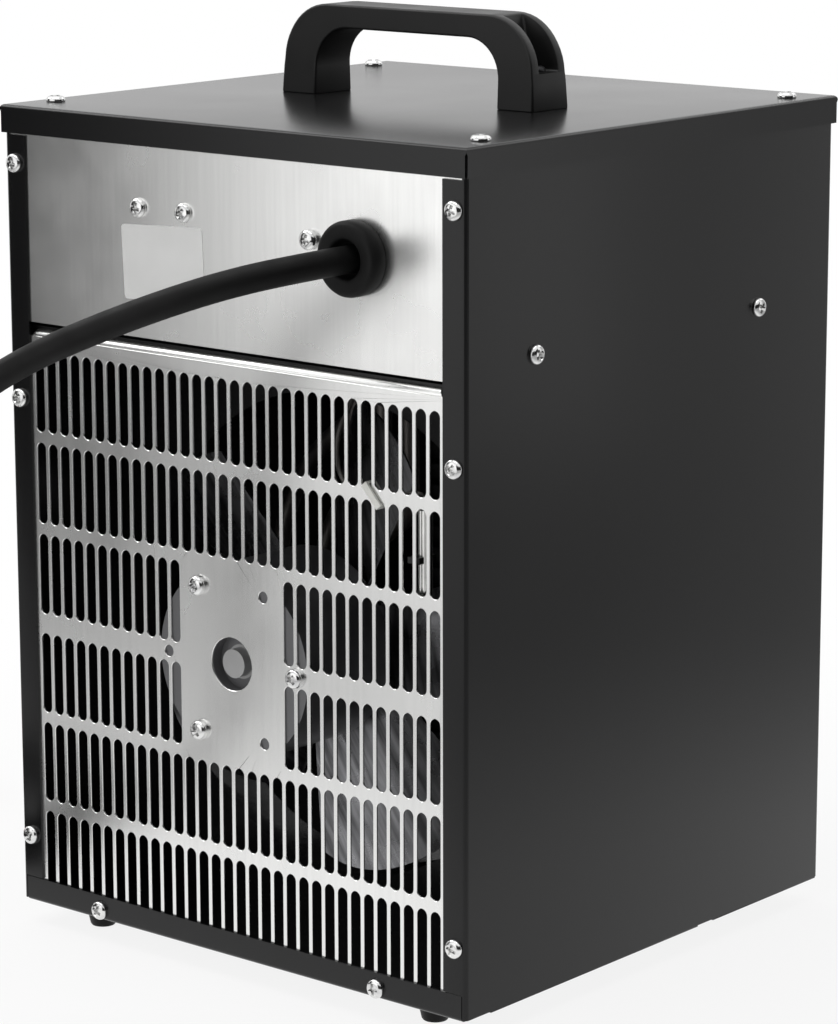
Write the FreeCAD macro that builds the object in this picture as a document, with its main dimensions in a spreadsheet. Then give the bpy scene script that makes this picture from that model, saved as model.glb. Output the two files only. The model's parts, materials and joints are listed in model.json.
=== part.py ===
import FreeCAD, Part
import math
import os
import re

import Sketcher
from FreeCAD import Placement, Rotation, Vector

# A portable three-phase fan heater. Millimetres, +Z up, the air outlet and the controls face -Y,
# the slotted inlet and the cable are at +Y. The origin is on the floor under the middle of the casing.

SIZES = {
    # casing of folded sheet
    "body_width": 257.0,
    "body_depth": 252.5,
    "case_height": 357.0,
    "case_sheet": 1.0,
    "galv_sheet": 1.0,
    "lid_gap": 0.4,
    "lid_flange": 11.3,
    "lid_bend": 1.9,
    "lid_edge_gap": 1.6,
    "side_flange": 12.0,
    "top_flange": 15.0,
    "top_flange_inset": 6.0,
    "fold_gap": 0.4,
    "base_flange": 11.3,
    "pan_gap": 1.0,
    "tongue_inset": 0.6,
    "tongue_end": 16.0,
    "tongue_notch_width": 11.3,
    "tongue_notch_shift": 40.3,
    "panel_gap": 0.5,
    "divider_height": 260.6,
    "seam": 3.0,
    "lip_depth": 12.0,
    "lip_bend": 3.0,
    "lip_inset": 3.0,
    "lip_notch": 11.7,
    # slots of the back grille
    "slot_pitch": 7.2,
    "slot_width": 5.3,
    "slot_length": 35.9,
    "slot_bar": 4.8,
    "slot_middle_bar": 8.8,
    "slot_margin": 12.0,
    "slot_edge_bar": 6.5,
    "motor_plate_width": 57.6,
    "motor_plate_rows": 1,
    # slots of the front grille
    "vent_length": 68.0,
    "vent_width": 6.4,
    "vent_pitch": 10.4,
    "vent_bar": 6.0,
    "vent_edge": 15.0,
    # pan-head screws and their holes
    "screw_dia": 4.0,
    "screw_length": 7.0,
    "head_dia": 8.4,
    "head_height": 2.6,
    "head_rim": 1.0,
    "head_flat": 4.6,
    "recess_length": 4.6,
    "recess_width": 1.1,
    "recess_depth": 1.3,
    "screw_fit": 0.05,
    "washer_dia": 8.0,
    "washer_thick": 1.0,
    "cover_screw_inset": 10.0,
    "cover_screw_back": 21.3,
    "flange_screw_inset": 5.9,
    "flange_screw_top": 25.0,
    "flange_screw_middle": 31.1,
    "flange_screw_low": 31.0,
    "base_screw_inset": 48.1,
    "base_screw_rise": 4.6,
    "side_screw_back": 82.5,
    "side_screw_front": 71.5,
    "side_screw_rise": 9.6,
    # feet
    "foot_height": 10.0,
    "foot_top_dia": 15.6,
    "foot_dia": 11.6,
    "foot_round": 1.2,
    "foot_stem_dia": 6.0,
    "foot_stem_head": 9.0,
    "foot_inset_side": 31.5,
    "foot_inset_end": 18.3,
    # carrying handle
    "handle_length": 142.0,
    "handle_taper": 1.2,
    "handle_height": 40.6,
    "handle_grip": 10.8,
    "handle_leg": 19.6,
    "handle_width": 23.1,
    "handle_round": 21.0,
    "handle_inner_round": 17.4,
    "handle_edge": 1.4,
    "handle_recess_width": 13.0,
    "handle_recess_depth": 15.5,
    "handle_ledge": 17.4,
    "handle_screw_dia": 5.0,
    "handle_screw_length": 24.0,
    "handle_nut_dia": 9.2,
    "handle_nut_thick": 4.0,
    # inner plates
    "partition_inset": 3.4,
    "partition_flange": 16.0,
    "partition_flange_inset": 14.4,
    "shroud_rim": 20.5,
    "shroud_flange": 14.0,
    "collar_depth": 24.0,
    # motor and fan
    "motor_height": 129.6,
    "motor_dia": 84.0,
    "motor_length": 52.0,
    "motor_wall": 4.0,
    "motor_shield": 12.0,
    "motor_boss_dia": 12.4,
    "motor_boss_set": 0.2,
    "motor_dish_depth": 5.0,
    "motor_plate_hole": 23.0,
    "motor_screw_circle": 73.0,
    "motor_spare_hole": 5.0,
    "rotor_dia": 40.0,
    "rotor_gap": 0.5,
    "stator_end_gap": 5.0,
    "shaft_dia": 8.0,
    "shaft_fit": 0.05,
    "press_fit": 0.01,
    "fan_setback": 20.0,
    "fan_gap": 3.0,
    "fan_hub_dia": 52.0,
    "fan_hub_thick": 2.0,
    "fan_boss_dia": 18.0,
    "fan_boss_length": 16.0,
    "fan_blade_thick": 1.2,
    "fan_blade_root": 24.0,
    "fan_blade_width": 68.0,
    "fan_blade_shoulder": 16.0,
    "fan_blade_pitch": 28.0,
    "fan_blade_camber": 95.0,
    "fan_blade_chord": 51.0,
    "fan_blade_count": 5,
    "fan_blade_start": 39.8,
    "fan_nut_dia": 13.0,
    "fan_nut_thick": 6.0,
    # heating elements
    "element_dia": 8.0,
    "element_setback": 58.0,
    "element_inset": 15.0,
    "element_pitch": 26.0,
    "element_leg": 12.0,
    "element_leg_pitch": 16.0,
    "element_bend": 14.0,
    "element_rise": 14.4,
    "element_stud_dia": 4.0,
    "element_stud_length": 10.0,
    "element_fit": 0.2,
    "bush_dia": 14.0,
    "bush_height": 8.0,
    "bracket_width": 12.0,
    "bracket_foot": 16.0,
    "link_thick": 1.5,
    "link_width": 8.0,
    # controls behind the recessed front panel
    "control_recess": 22.0,
    "control_border_side": 20.0,
    "control_border_end": 10.0,
    "control_drop": 47.0,
    "control_spread": 52.0,
    "spindle_dia": 6.0,
    "spindle_fit": 0.05,
    "spindle_depth": 24.0,
    "knob_gap": 0.6,
    "knob_dia": 36.0,
    "knob_disc": 4.0,
    "knob_bar_width": 9.0,
    "knob_length": 19.0,
    "knob_wall": 4.0,
    "switch_width": 44.0,
    "switch_length": 40.0,
    "thermostat_width": 34.0,
    "thermostat_length": 30.0,
    "capillary_dia": 2.0,
    "capillary_hole": 8.0,
    "capillary_shift": 47.1,
    "capillary_set": 6.0,
    "bulb_dia": 6.0,
    "bulb_length": 38.0,
    "bulb_inset": 27.3,
    "bulb_rise": 79.4,
    "bulb_clip_height": 2.6,
    "bulb_clip_wall": 1.6,
    "bulb_clip_gap": 2.6,
    "tie_from_bulb": 25.6,
    "tie_from_bar": 1.7,
    "tie_width": 3.0,
    "tie_thick": 1.1,
    "tie_gap": 0.3,
    "cutout_dia": 18.0,
    "cutout_height": 8.0,
    "cutout_shift": 70.0,
    "cutout_front": 24.0,
    # electrical connection
    "terminal_shift": 36.6,
    "terminal_drop": 38.3,
    "terminal_spread": 26.1,
    "terminal_length": 64.0,
    "terminal_height": 28.0,
    "terminal_depth": 20.0,
    "terminal_pole": 11.0,
    "wire_dia": 2.0,
    "wire_lane": 4.0,
    "gland_shift": 71.3,
    "gland_drop": 48.3,
    "gland_dia": 31.0,
    "gland_proud": 8.0,
    "gland_bevel": 1.2,
    "gland_mouth": 16.0,
    "gland_mouth_depth": 5.0,
    "gland_neck": 22.0,
    "gland_back_dia": 27.0,
    "gland_back": 3.0,
    "gland_fit": 0.1,
    "clamp_wall": 1.8,
    "clamp_length": 10.0,
    "clamp_screw_shift": 24.6,
    "clamp_screw_rise": 5.2,
    "clamp_block": 11.0,
    "label_width": 46.6,
    "label_height": 31.6,
    "label_thick": 0.15,
    "label_shift": 35.4,
    "label_drop": 59.6,
    "label_tilt": 2.6,
    # supply cable, coil and plug
    "cable_dia": 11.6,
    "cable_inside": 16.3,
    "coil_radius": 73.1,
    "coil_gap": 0.6,
    "coil_turns": 3.25,
    "coil_lift": 1.4,
    "coil_tie_width": 8.0,
    "coil_tie_thick": 1.2,
    "coil_tie_gap": 0.7,
    "tail_length": 80.0,
    "plug_dia": 62.0,
    "plug_length": 126.0,
    "plug_nut_dia": 34.0,
    "plug_nut_length": 24.0,
    "plug_nut_bore": 14.0,
    "plug_body_dia": 50.0,
    "plug_ring_length": 14.0,
    "plug_sleeve_dia": 54.0,
    "plug_sleeve_wall": 3.0,
    "plug_sleeve_depth": 40.0,
    "plug_key": 6.0,
    "plug_key_rise": 2.4,
    "pin_dia": 5.0,
    "earth_pin_dia": 7.0,
    "pin_circle": 29.0,
    "pin_length": 36.0,
}

# Places and fits that follow from the sizes above.
PLACES = {
    "half_x": "body_width / 2",
    "half_y": "body_depth / 2",
    "in_x": "half_x - case_sheet",
    "in_y": "half_y - case_sheet",
    "back_y": "in_y - galv_sheet",
    "lid_x": "half_x + lid_gap + case_sheet",
    "lid_y": "half_y + lid_gap + case_sheet",
    "top_z": "foot_height + case_height",
    "under_z": "top_z - case_sheet",
    "lid_z": "top_z - lid_flange",
    "floor_z": "foot_height + case_sheet",
    "rim_z": "foot_height + base_flange",
    "divider_z": "foot_height + divider_height",
    "panel_z": "divider_z + seam",
    "panel_top_z": "under_z - case_sheet - panel_gap",
    "panel_x": "in_x - panel_gap",
    "screw_hole": "screw_dia / 2 + screw_fit",
    "cover_x": "half_x - cover_screw_inset",
    "cover_y": "half_y - cover_screw_back",
    "flange_x": "half_x - flange_screw_inset",
    "flange_top_z": "top_z - flange_screw_top",
    "flange_middle_z": "divider_z - flange_screw_middle",
    "flange_low_z": "foot_height + flange_screw_low",
    "base_x": "half_x - base_screw_inset",
    "base_z": "foot_height + base_screw_rise",
    "side_z": "divider_z + side_screw_rise",
    "foot_x": "half_x - foot_inset_side",
    "foot_y": "half_y - foot_inset_end",
    "handle_half": "handle_length / 2",
    "handle_screw_x": "handle_half - handle_recess_depth / 2 - handle_taper / 2",
    "axis_z": "foot_height + motor_height",
    "motor_front_y": "back_y - motor_length",
    "fan_y": "motor_front_y - fan_setback",
    "shroud_r": "min(in_x; axis_z - floor_z; divider_z - axis_z) - shroud_rim",
    "fan_r": "shroud_r - fan_gap",
    "shroud_y": "fan_y + collar_depth / 4",
    "shaft_end_y": "fan_y - fan_boss_length / 2 - fan_nut_thick - 3",
    "element_y": "fan_y - element_setback",
    "element_top_z": "divider_z + galv_sheet + element_rise",
    "control_y": "in_y - control_recess",
    "control_back_y": "control_y - case_sheet",
    "control_z": "top_z - control_drop",
    "control_low_z": "panel_z + control_border_end",
    "control_high_z": "panel_top_z - control_border_end",
    "control_x": "panel_x - control_border_side",
    "switch_back_y": "control_back_y - switch_length",
    "thermostat_back_y": "control_back_y - thermostat_length",
    "bulb_x": "-(half_x - bulb_inset)",
    "bulb_y": "back_y - bulb_clip_gap - bulb_dia / 2",
    "bulb_top_z": "axis_z + bulb_rise",
    "terminal_z": "top_z - terminal_drop",
    "terminal_front_y": "back_y - terminal_depth",
    "gland_x": "-gland_shift",
    "gland_z": "top_z - gland_drop",
    "gland_back_y": "back_y - gland_back",
    "clamp_x": "gland_x + clamp_screw_shift",
    "clamp_z": "gland_z + clamp_screw_rise",
    "cable_end_y": "back_y - cable_inside",
}

doc = FreeCAD.newDocument("FanHeater")
sheet = doc.addObject("Spreadsheet::Sheet", "Sizes")
for row, (alias, number) in enumerate(SIZES.items(), 1):
    sheet.set(f"A{row}", alias)
    sheet.set(f"B{row}", str(number))
    sheet.setAlias(f"B{row}", alias)
doc.recompute()

WORD = re.compile(r"[a-z][a-z_]*")


def owner(found):
    """The name of a size or a place, led by the object that holds it."""
    word = found.group(0)
    if word in SIZES:
        return "Sizes." + word
    if word in PLACES:
        return "Places." + word
    return word


def rule(text):
    return WORD.sub(owner, str(text))


P = doc.addObject("App::FeaturePython", "Places")
for alias, text in PLACES.items():
    P.addProperty("App::PropertyFloat", alias, "Derived")
for alias, text in PLACES.items():
    P.setExpression(alias, rule(text))
doc.recompute()


def size(alias):
    return float(sheet.get(alias))


TURNS = {
    "+x": Rotation(Vector(0, 1, 0), 90),
    "-x": Rotation(Vector(0, 1, 0), -90),
    "+y": Rotation(Vector(1, 0, 0), -90),
    "-y": Rotation(Vector(1, 0, 0), 90),
    "+z": Rotation(),
    "-z": Rotation(Vector(1, 0, 0), 180),
}
NODES = []


def node(label, thing):
    """Mark an object as one of the heater's sub-parts."""
    thing.Label = label
    NODES.append(thing)
    return thing


def move(thing, spot, way="+z"):
    thing.Placement = Placement(Vector(), TURNS[way])
    for axis, text in zip("xyz", spot):
        thing.setExpression("Placement.Base." + axis, rule(text))
    return thing


def block(low, high):
    box = doc.addObject("Part::Box", "block")
    for side, near, far in zip(("Length", "Width", "Height"), low, high):
        box.setExpression(side, rule(f"({far}) - ({near})"))
    return move(box, low)


def rod(radius, spot, length, way):
    cylinder = doc.addObject("Part::Cylinder", "rod")
    cylinder.setExpression("Radius", rule(radius))
    cylinder.setExpression("Height", rule(length))
    return move(cylinder, spot, way)


def join(*pieces):
    union = doc.addObject("Part::MultiFuse", "join")
    union.Shapes = list(pieces)
    union.Refine = True
    return union


def cut(base, *tools):
    left = base
    for tool in tools:
        step = doc.addObject("Part::Cut", "cut")
        step.Base = left
        step.Tool = tool
        left = step
    return left


def group(pieces):
    bundle = doc.addObject("Part::Compound", "group")
    bundle.Links = list(pieces)
    return bundle


def copies(master, spots, way):
    links = []
    for spot in spots:
        link = doc.addObject("App::Link", "copy")
        link.LinkedObject = master
        links.append(move(link, spot, way))
    return group(links)


def form(label, shape):
    """A sub-part whose shape is worked out in code from the sheet's sizes."""
    feature = doc.addObject("Part::Feature", label)
    feature.Shape = shape
    return feature


def span(side, near, far):
    """The low and high bound of a piece that lies between near and far on one side of the middle."""
    if side > 0:
        return near, far
    return f"-({far})", f"-({near})"


def sketch_on(body, role, corners):
    """A closed outline whose every corner is held by distances bound to the sheet."""
    sketch = body.newObject("Sketcher::SketchObject", "outline")
    plane = [entry for entry in body.Origin.OriginFeatures if entry.Role == role][0]
    sketch.AttachmentSupport = [(plane, "")]
    sketch.MapMode = "FlatFace"
    count = len(corners)
    ring = [Vector(9 * math.cos(2 * math.pi * k / count), 9 * math.sin(2 * math.pi * k / count), 0)
            for k in range(count)]
    for k in range(count):
        sketch.addGeometry(Part.LineSegment(ring[k], ring[(k + 1) % count]), False)
    for k in range(count):
        sketch.addConstraint(Sketcher.Constraint("Coincident", k, 2, (k + 1) % count, 1))
    for k, corner in enumerate(corners):
        for kind, axis, text in zip(("DistanceX", "DistanceY"), (-2, -1), corner):
            if text == "0":
                sketch.addConstraint(Sketcher.Constraint("PointOnObject", k, 1, axis))
                continue
            held = sketch.addConstraint(Sketcher.Constraint(kind, -1, 1, k, 1, 1.0))
            sketch.setExpression(f"Constraints[{held}]", rule(text))
    return sketch


def turned(corners):
    """A body turned about its own Z axis from radius and height corners."""
    body = doc.addObject("PartDesign::Body", "turned")
    profile = sketch_on(body, "XZ_Plane", corners)
    doc.recompute()
    spin = body.newObject("PartDesign::Revolution", "spin")
    spin.Profile = profile
    spin.ReferenceAxis = (profile, ["V_Axis"])
    spin.Angle = 360
    body.Tip = spin
    doc.recompute()
    return body


def ring_body(outer, inner, low, high):
    return turned([(inner, low), (outer, low), (outer, high), (inner, high)])


# Screws, washers and the holes for them

def pan_screw(dia, length):
    """A pan-head screw that points down, the head's underside at height zero."""
    body = turned([
        ("0", f"-{length}"), (f"{dia} / 2", f"-{length}"), (f"{dia} / 2", "0"), ("head_dia / 2", "0"),
        ("head_dia / 2", "head_rim"), ("head_flat / 2", "head_height"), ("0", "head_height")])
    arm, half = "recess_length / 2", "recess_width / 2"
    cross = sketch_on(body, "XY_Plane", [
        (arm, f"-{half}"), (arm, half), (half, half), (half, arm), (f"-{half}", arm), (f"-{half}", half),
        (f"-{arm}", half), (f"-{arm}", f"-{half}"), (f"-{half}", f"-{half}"), (f"-{half}", f"-{arm}"),
        (half, f"-{arm}"), (half, f"-{half}")])
    cross.setExpression("AttachmentOffset.Base.z", rule("head_height"))
    doc.recompute()
    before = body.Shape.Volume
    pocket = body.newObject("PartDesign::Pocket", "recess")
    pocket.Profile = cross
    pocket.setExpression("Length", rule("recess_depth"))
    body.Tip = pocket
    doc.recompute()
    if body.Shape.Volume >= before:
        raise ValueError("the screw's recess cut nothing")
    return body


def bores(spots, way, reach, radius="screw_hole"):
    """Holes through whatever stands within reach on both sides of each spot."""
    back = {"+x": "-x", "+y": "-y", "+z": "-z", "-y": "+y", "-x": "+x"}[way]
    rods = []
    for spot in spots:
        rods.append(rod(radius, spot, reach, way))
        rods.append(rod(radius, spot, reach, back))
    return group(rods)


SIDES = (-1, 1)
ENDS = ((1, "+y"), (-1, "-y"))
cover_spots = [(f"{s} * cover_x", f"{e} * cover_y", "top_z") for s in SIDES for e in SIDES]
flange_spots = {end: [(f"{s} * flange_x", f"{end} * half_y", z) for s in SIDES
                      for z in ("flange_top_z", "flange_middle_z", "flange_low_z")] for end in SIDES}
base_spots = {end: [(f"{s} * base_x", f"{end} * half_y", "base_z") for s in SIDES] for end in SIDES}
side_spots = {s: [(f"{s} * half_x", y, "side_z") for y in ("side_screw_back", "-side_screw_front")]
              for s in SIDES}
terminal_spots = [(f"terminal_shift + {s} * terminal_spread / 2", "in_y", "terminal_z") for s in SIDES]
clamp_spot = ("clamp_x", "in_y", "clamp_z")


def motor_circle(degrees, depth="in_y"):
    turn = math.radians(degrees)
    return (f"{math.cos(turn):.6f} * motor_screw_circle / 2", depth,
            f"axis_z + {math.sin(turn):.6f} * motor_screw_circle / 2")


motor_spots = [motor_circle(angle) for angle in (60, 180, 300)]
spare_spots = [motor_circle(angle) for angle in (0, 120, 240)]

case_screw = pan_screw("screw_dia", "screw_length")
handle_screw = pan_screw("handle_screw_dia", "handle_screw_length")

cover_bores = bores(cover_spots, "+z", "screw_length + 4")
handle_spots = [(f"{s} * handle_screw_x", "0", "top_z") for s in SIDES]
handle_bores = bores(handle_spots, "+z", "handle_ledge + 2", "handle_screw_dia / 2 + screw_fit")
flange_bores = {end: bores(flange_spots[end] + base_spots[end], way, "screw_length + 1") for end, way in ENDS}
side_bores = {-1: bores(side_spots[-1], "-x", "screw_length + 1"),
              1: bores(side_spots[1], "+x", "screw_length + 1")}
foot_spots = [(f"{s} * foot_x", f"{e} * foot_y", "foot_height") for s in SIDES for e in SIDES]
foot_bores = bores(foot_spots, "+z", "case_sheet + 2", "foot_stem_dia / 2 + screw_fit")
panel_bores = bores(terminal_spots + [clamp_spot], "+y", "screw_length + 1")
gland_bore = rod("gland_neck / 2 + gland_fit", ("gland_x", "back_y - 2", "gland_z"), "galv_sheet + 4", "+y")


# Casing

def top_cover():
    outer = block(("-lid_x", "-lid_y", "lid_z"), ("lid_x", "lid_y", "top_z"))
    doc.recompute()
    low = P.lid_z + 0.01
    edges = [k for k, edge in enumerate(outer.Shape.Edges, 1) if edge.BoundBox.ZMax > low]
    rounded = doc.addObject("Part::Fillet", "rounded")
    rounded.Base = outer
    rounded.Edges = [(k, size("lid_bend"), size("lid_bend")) for k in edges]
    room = block(("-(lid_x - case_sheet)", "-(lid_y - case_sheet)", "lid_z - 5"),
                 ("lid_x - case_sheet", "lid_y - case_sheet", "under_z"))
    return cut(rounded, room, cover_bores, handle_bores)


def side_panel(side):
    wall_low, wall_high = span(side, "in_x", "half_x")
    fold_low, fold_high = span(side, "half_x - side_flange", "half_x")
    top_low, top_high = span(side, "half_x - top_flange", "half_x")
    wall = block((wall_low, "-half_y", "floor_z"), (wall_high, "half_y", "under_z"))
    folds = []
    for end in SIDES:
        near, far = span(end, "in_y", "half_y")
        folds.append(block((fold_low, near, "rim_z + fold_gap"), (fold_high, far, "lid_z - lid_edge_gap")))
    reach = "half_y - top_flange_inset"
    top = block((top_low, f"-({reach})", "under_z - case_sheet"), (top_high, reach, "under_z"))
    return cut(join(wall, top, *folds), cover_bores, flange_bores[1], flange_bores[-1], side_bores[side])


def base_pan():
    edge = "in_x - pan_gap"
    plate = block((f"-({edge})", "-half_y", "foot_height"), (edge, "half_y", "floor_z"))
    pieces = [plate]
    for end in SIDES:
        near, far = span(end, "in_y", "half_y")
        pieces.append(block((f"-({edge})", near, "foot_height"), (edge, far, "rim_z")))
    for side in SIDES:
        low, high = span(side, edge, "half_x - tongue_inset")
        notch = "tongue_notch_width / 2"
        pieces.append(block((low, "-in_y", "foot_height"),
                            (high, f"-tongue_notch_shift - {notch}", "floor_z")))
        pieces.append(block((low, f"-tongue_notch_shift + {notch}", "foot_height"),
                            (high, "in_y - tongue_end", "floor_z")))
    return cut(join(*pieces), flange_bores[1], flange_bores[-1], foot_bores)


def rear_upper_panel():
    plate = block(("-panel_x", "back_y", "panel_z"), ("panel_x", "in_y", "panel_top_z"))
    lip = block(("-(panel_x - lip_inset)", "in_y - lip_depth", "panel_z"),
                ("panel_x - lip_inset", "back_y", "panel_z + galv_sheet"))
    return cut(join(plate, lip), flange_bores[1], panel_bores, gland_bore)


def front_control_panel():
    """A black panel with a shallow tray that keeps the knobs inside the casing's outline."""
    plate = block(("-panel_x", "-in_y", "panel_z"), ("panel_x", "-in_y + case_sheet", "panel_top_z"))
    tray = block(("-control_x - case_sheet", "-in_y", "control_low_z - case_sheet"),
                 ("control_x + case_sheet", "-control_back_y", "control_high_z + case_sheet"))
    hollow = block(("-control_x", "-in_y - 5", "control_low_z"),
                   ("control_x", "-control_y", "control_high_z"))
    holes = [rod("spindle_dia / 2 + 1",
                 (f"{s} * control_spread", "-control_back_y + 3", "control_z"), "10", "-y")
             for s in SIDES]
    return cut(join(plate, tray), hollow, flange_bores[-1], *holes)


def slot(x, z, wide, tall, depth):
    """The outline of a round-ended slot on a plane of constant Y."""
    r = min(wide, tall) / 2
    dx, dz = max(wide / 2 - r, 0), max(tall / 2 - r, 0)

    def at(px, pz):
        return Vector(x + px, depth, z + pz)

    if tall >= wide:
        first = Part.Arc(at(-r, dz), at(0, dz + r), at(r, dz))
        second = Part.Arc(at(r, -dz), at(0, -dz - r), at(-r, -dz))
    else:
        first = Part.Arc(at(dx, r), at(dx + r, 0), at(dx, -r))
        second = Part.Arc(at(-dx, -r), at(-dx - r, 0), at(-dx, r))
    return Part.Wire([first.toShape(), Part.LineSegment(first.EndPoint, second.StartPoint).toShape(),
                      second.toShape(), Part.LineSegment(second.EndPoint, first.StartPoint).toShape()])


def lipped_sheet(slots, thick):
    """An upright slotted sheet at the back whose top edge is folded inward in a round lip."""
    bend, lip = size("lip_bend"), size("lip_depth")
    low, high = P.floor_z + size("panel_gap"), P.divider_z - bend
    x = P.panel_x
    rim = Part.makePolygon([Vector(-x, P.in_y, low), Vector(x, P.in_y, low), Vector(x, P.in_y, high),
                            Vector(-x, P.in_y, high), Vector(-x, P.in_y, low)])
    face = Part.Face([rim] + slots)
    face.validate()
    plate = face.extrude(Vector(0, -thick, 0))
    inner, middle = bend - thick, (P.in_y - bend, high)
    slope = math.sqrt(0.5)

    def on(radius, along, up):
        return Vector(-x + size("lip_notch"), middle[0] + radius * along, middle[1] + radius * up)

    outside = Part.Arc(on(bend, 1, 0), on(bend, slope, slope), on(bend, 0, 1))
    inside = Part.Arc(on(inner, 0, 1), on(inner, slope, slope), on(inner, 1, 0))
    end_top = Vector(-x + size("lip_notch"), P.in_y - lip, P.divider_z)
    end_low = end_top - Vector(0, 0, thick)
    profile = Part.Wire([outside.toShape(), Part.LineSegment(outside.EndPoint, end_top).toShape(),
                         Part.LineSegment(end_top, end_low).toShape(),
                         Part.LineSegment(end_low, inside.StartPoint).toShape(), inside.toShape(),
                         Part.LineSegment(inside.EndPoint, outside.StartPoint).toShape()])
    fold = Part.Face(profile).extrude(Vector(2 * (x - size("lip_notch")), 0, 0))
    return plate.fuse(fold).removeSplitter()


def rear_slot_rows():
    """Heights of the middles of the slot rows above and below the motor's axis, with their order from it."""
    tall, bar = size("slot_length"), size("slot_bar")
    first = size("slot_middle_bar") / 2
    rows = []
    for side, limit in ((1, P.divider_z - size("lip_bend") - 1), (-1, P.floor_z + size("slot_edge_bar"))):
        order = 0
        while (first + (order + 1) * tall + order * bar) <= side * (limit - P.axis_z) + 0.5:
            rows.append((order, P.axis_z + side * (first + tall / 2 + order * (tall + bar))))
            order += 1
    return rows


def rear_slot_columns():
    """Places across of the slots that fit between the side flanges."""
    pitch = size("slot_pitch")
    count = int((2 * P.half_x - 2 * size("slot_margin") - 2) / pitch)
    return [(k - (count - 1) / 2) * pitch for k in range(count)]


def rear_grille():
    plate_half = size("motor_plate_width") / 2
    slots = []
    for order, z in rear_slot_rows():
        for x in rear_slot_columns():
            if order >= size("motor_plate_rows") or abs(x) > plate_half:
                slots.append(slot(x, z, size("slot_width"), size("slot_length"), P.in_y))
    body = form("rear_sheet", lipped_sheet(slots, size("galv_sheet")))
    hole = rod("motor_plate_hole / 2", ("0", "back_y - 2", "axis_z"), "galv_sheet + 4", "+y")
    spare = bores(spare_spots, "+y", "2", "motor_spare_hole / 2")
    screws = bores(motor_spots, "+y", "screw_length + 1")
    return cut(body, hole, spare, screws, flange_bores[1])


def front_grille():
    tall, long = size("vent_width"), size("vent_length")
    low = P.rim_z + size("vent_edge") / 2
    high = P.divider_z - size("lip_bend") - size("vent_edge") / 2
    count = int((high - low - tall) / size("vent_pitch")) + 1
    columns = int((2 * P.half_x - 2 * size("slot_margin")) / (long + size("vent_bar")))
    middle = (low + high) / 2
    slots = []
    for k in range(count):
        z = middle + (k - (count - 1) / 2) * size("vent_pitch")
        for c in range(columns):
            x = (c - (columns - 1) / 2) * (long + size("vent_bar"))
            slots.append(slot(x, z, long, tall, P.in_y))
    sheet_back = lipped_sheet(slots, size("case_sheet"))
    return cut(form("front_sheet", sheet_back.mirror(Vector(), Vector(0, 1, 0))), flange_bores[-1])


# Feet and handle

def rubber_foot(spot):
    """A push-in rubber foot; its stem head sits above the base pan's sheet."""
    stem_top = "case_sheet + 3"
    body = turned([
        ("0", "-foot_height"), ("foot_dia / 2 - foot_round", "-foot_height"),
        ("foot_dia / 2", "-foot_height + foot_round"), ("foot_top_dia / 2", "-0.6"),
        ("foot_top_dia / 2", "0"),
        ("foot_stem_dia / 2", "0"), ("foot_stem_dia / 2", "case_sheet"), ("foot_stem_head / 2", "case_sheet"),
        ("foot_stem_dia / 2", stem_top), ("0", stem_top)])
    return move(body, spot)


def handle():
    body = doc.addObject("PartDesign::Body", "arch")
    top_half = "handle_half - handle_taper"
    inner = "handle_half - handle_leg"
    under = "handle_height - handle_grip"
    outline = sketch_on(body, "XZ_Plane", [
        ("-handle_half", "0"), (f"-({top_half})", "handle_height"), (top_half, "handle_height"),
        ("handle_half", "0"), (inner, "0"), (inner, under), (f"-({inner})", under), (f"-({inner})", "0")])
    doc.recompute()
    pad = body.newObject("PartDesign::Pad", "pad")
    pad.Profile = outline
    pad.setExpression("Length", rule("handle_width"))
    pad.Midplane = True
    body.Tip = pad
    doc.recompute()

    def rounded(base, radius, picks):
        fillet = body.newObject("PartDesign::Fillet", "rounded")
        fillet.Base = (base, [f"Edge{k}" for k in picks])
        fillet.setExpression("Radius", rule(radius))
        body.Tip = fillet
        doc.recompute()
        return fillet

    def crossing(height):
        return [k for k, edge in enumerate(body.Shape.Edges, 1)
                if edge.BoundBox.YLength > size("handle_width") - 0.01
                and abs(edge.BoundBox.ZMin - height) < 0.01]

    step = rounded(pad, "handle_round", crossing(size("handle_height")))
    step = rounded(step, "handle_inner_round", crossing(size("handle_height") - size("handle_grip")))
    rims = [k for k, edge in enumerate(body.Shape.Edges, 1)
            if edge.BoundBox.YLength < 0.01 and edge.BoundBox.ZMax > 0.01]
    rounded(step, "handle_edge", rims)
    move(body, ("0", "0", "top_z"))
    recesses = []
    for side in SIDES:
        low, high = span(side, "handle_half - handle_recess_depth", "handle_half + 5")
        half = "handle_recess_width / 2"
        recesses.append(block((low, f"-{half}", "top_z + handle_ledge"),
                              (high, half, "top_z + handle_height + 5")))
    return cut(body, group(recesses), handle_bores)


def handle_nut():
    nut = doc.addObject("Part::Prism", "nut")
    nut.Polygon = 6
    nut.setExpression("Circumradius", rule("handle_nut_dia / 2"))
    nut.setExpression("Height", rule("handle_nut_thick"))
    return cut(nut, rod("handle_screw_dia / 2 + press_fit", ("0", "0", "-1"), "handle_nut_thick + 2", "+z"))


# Inner plates

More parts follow.
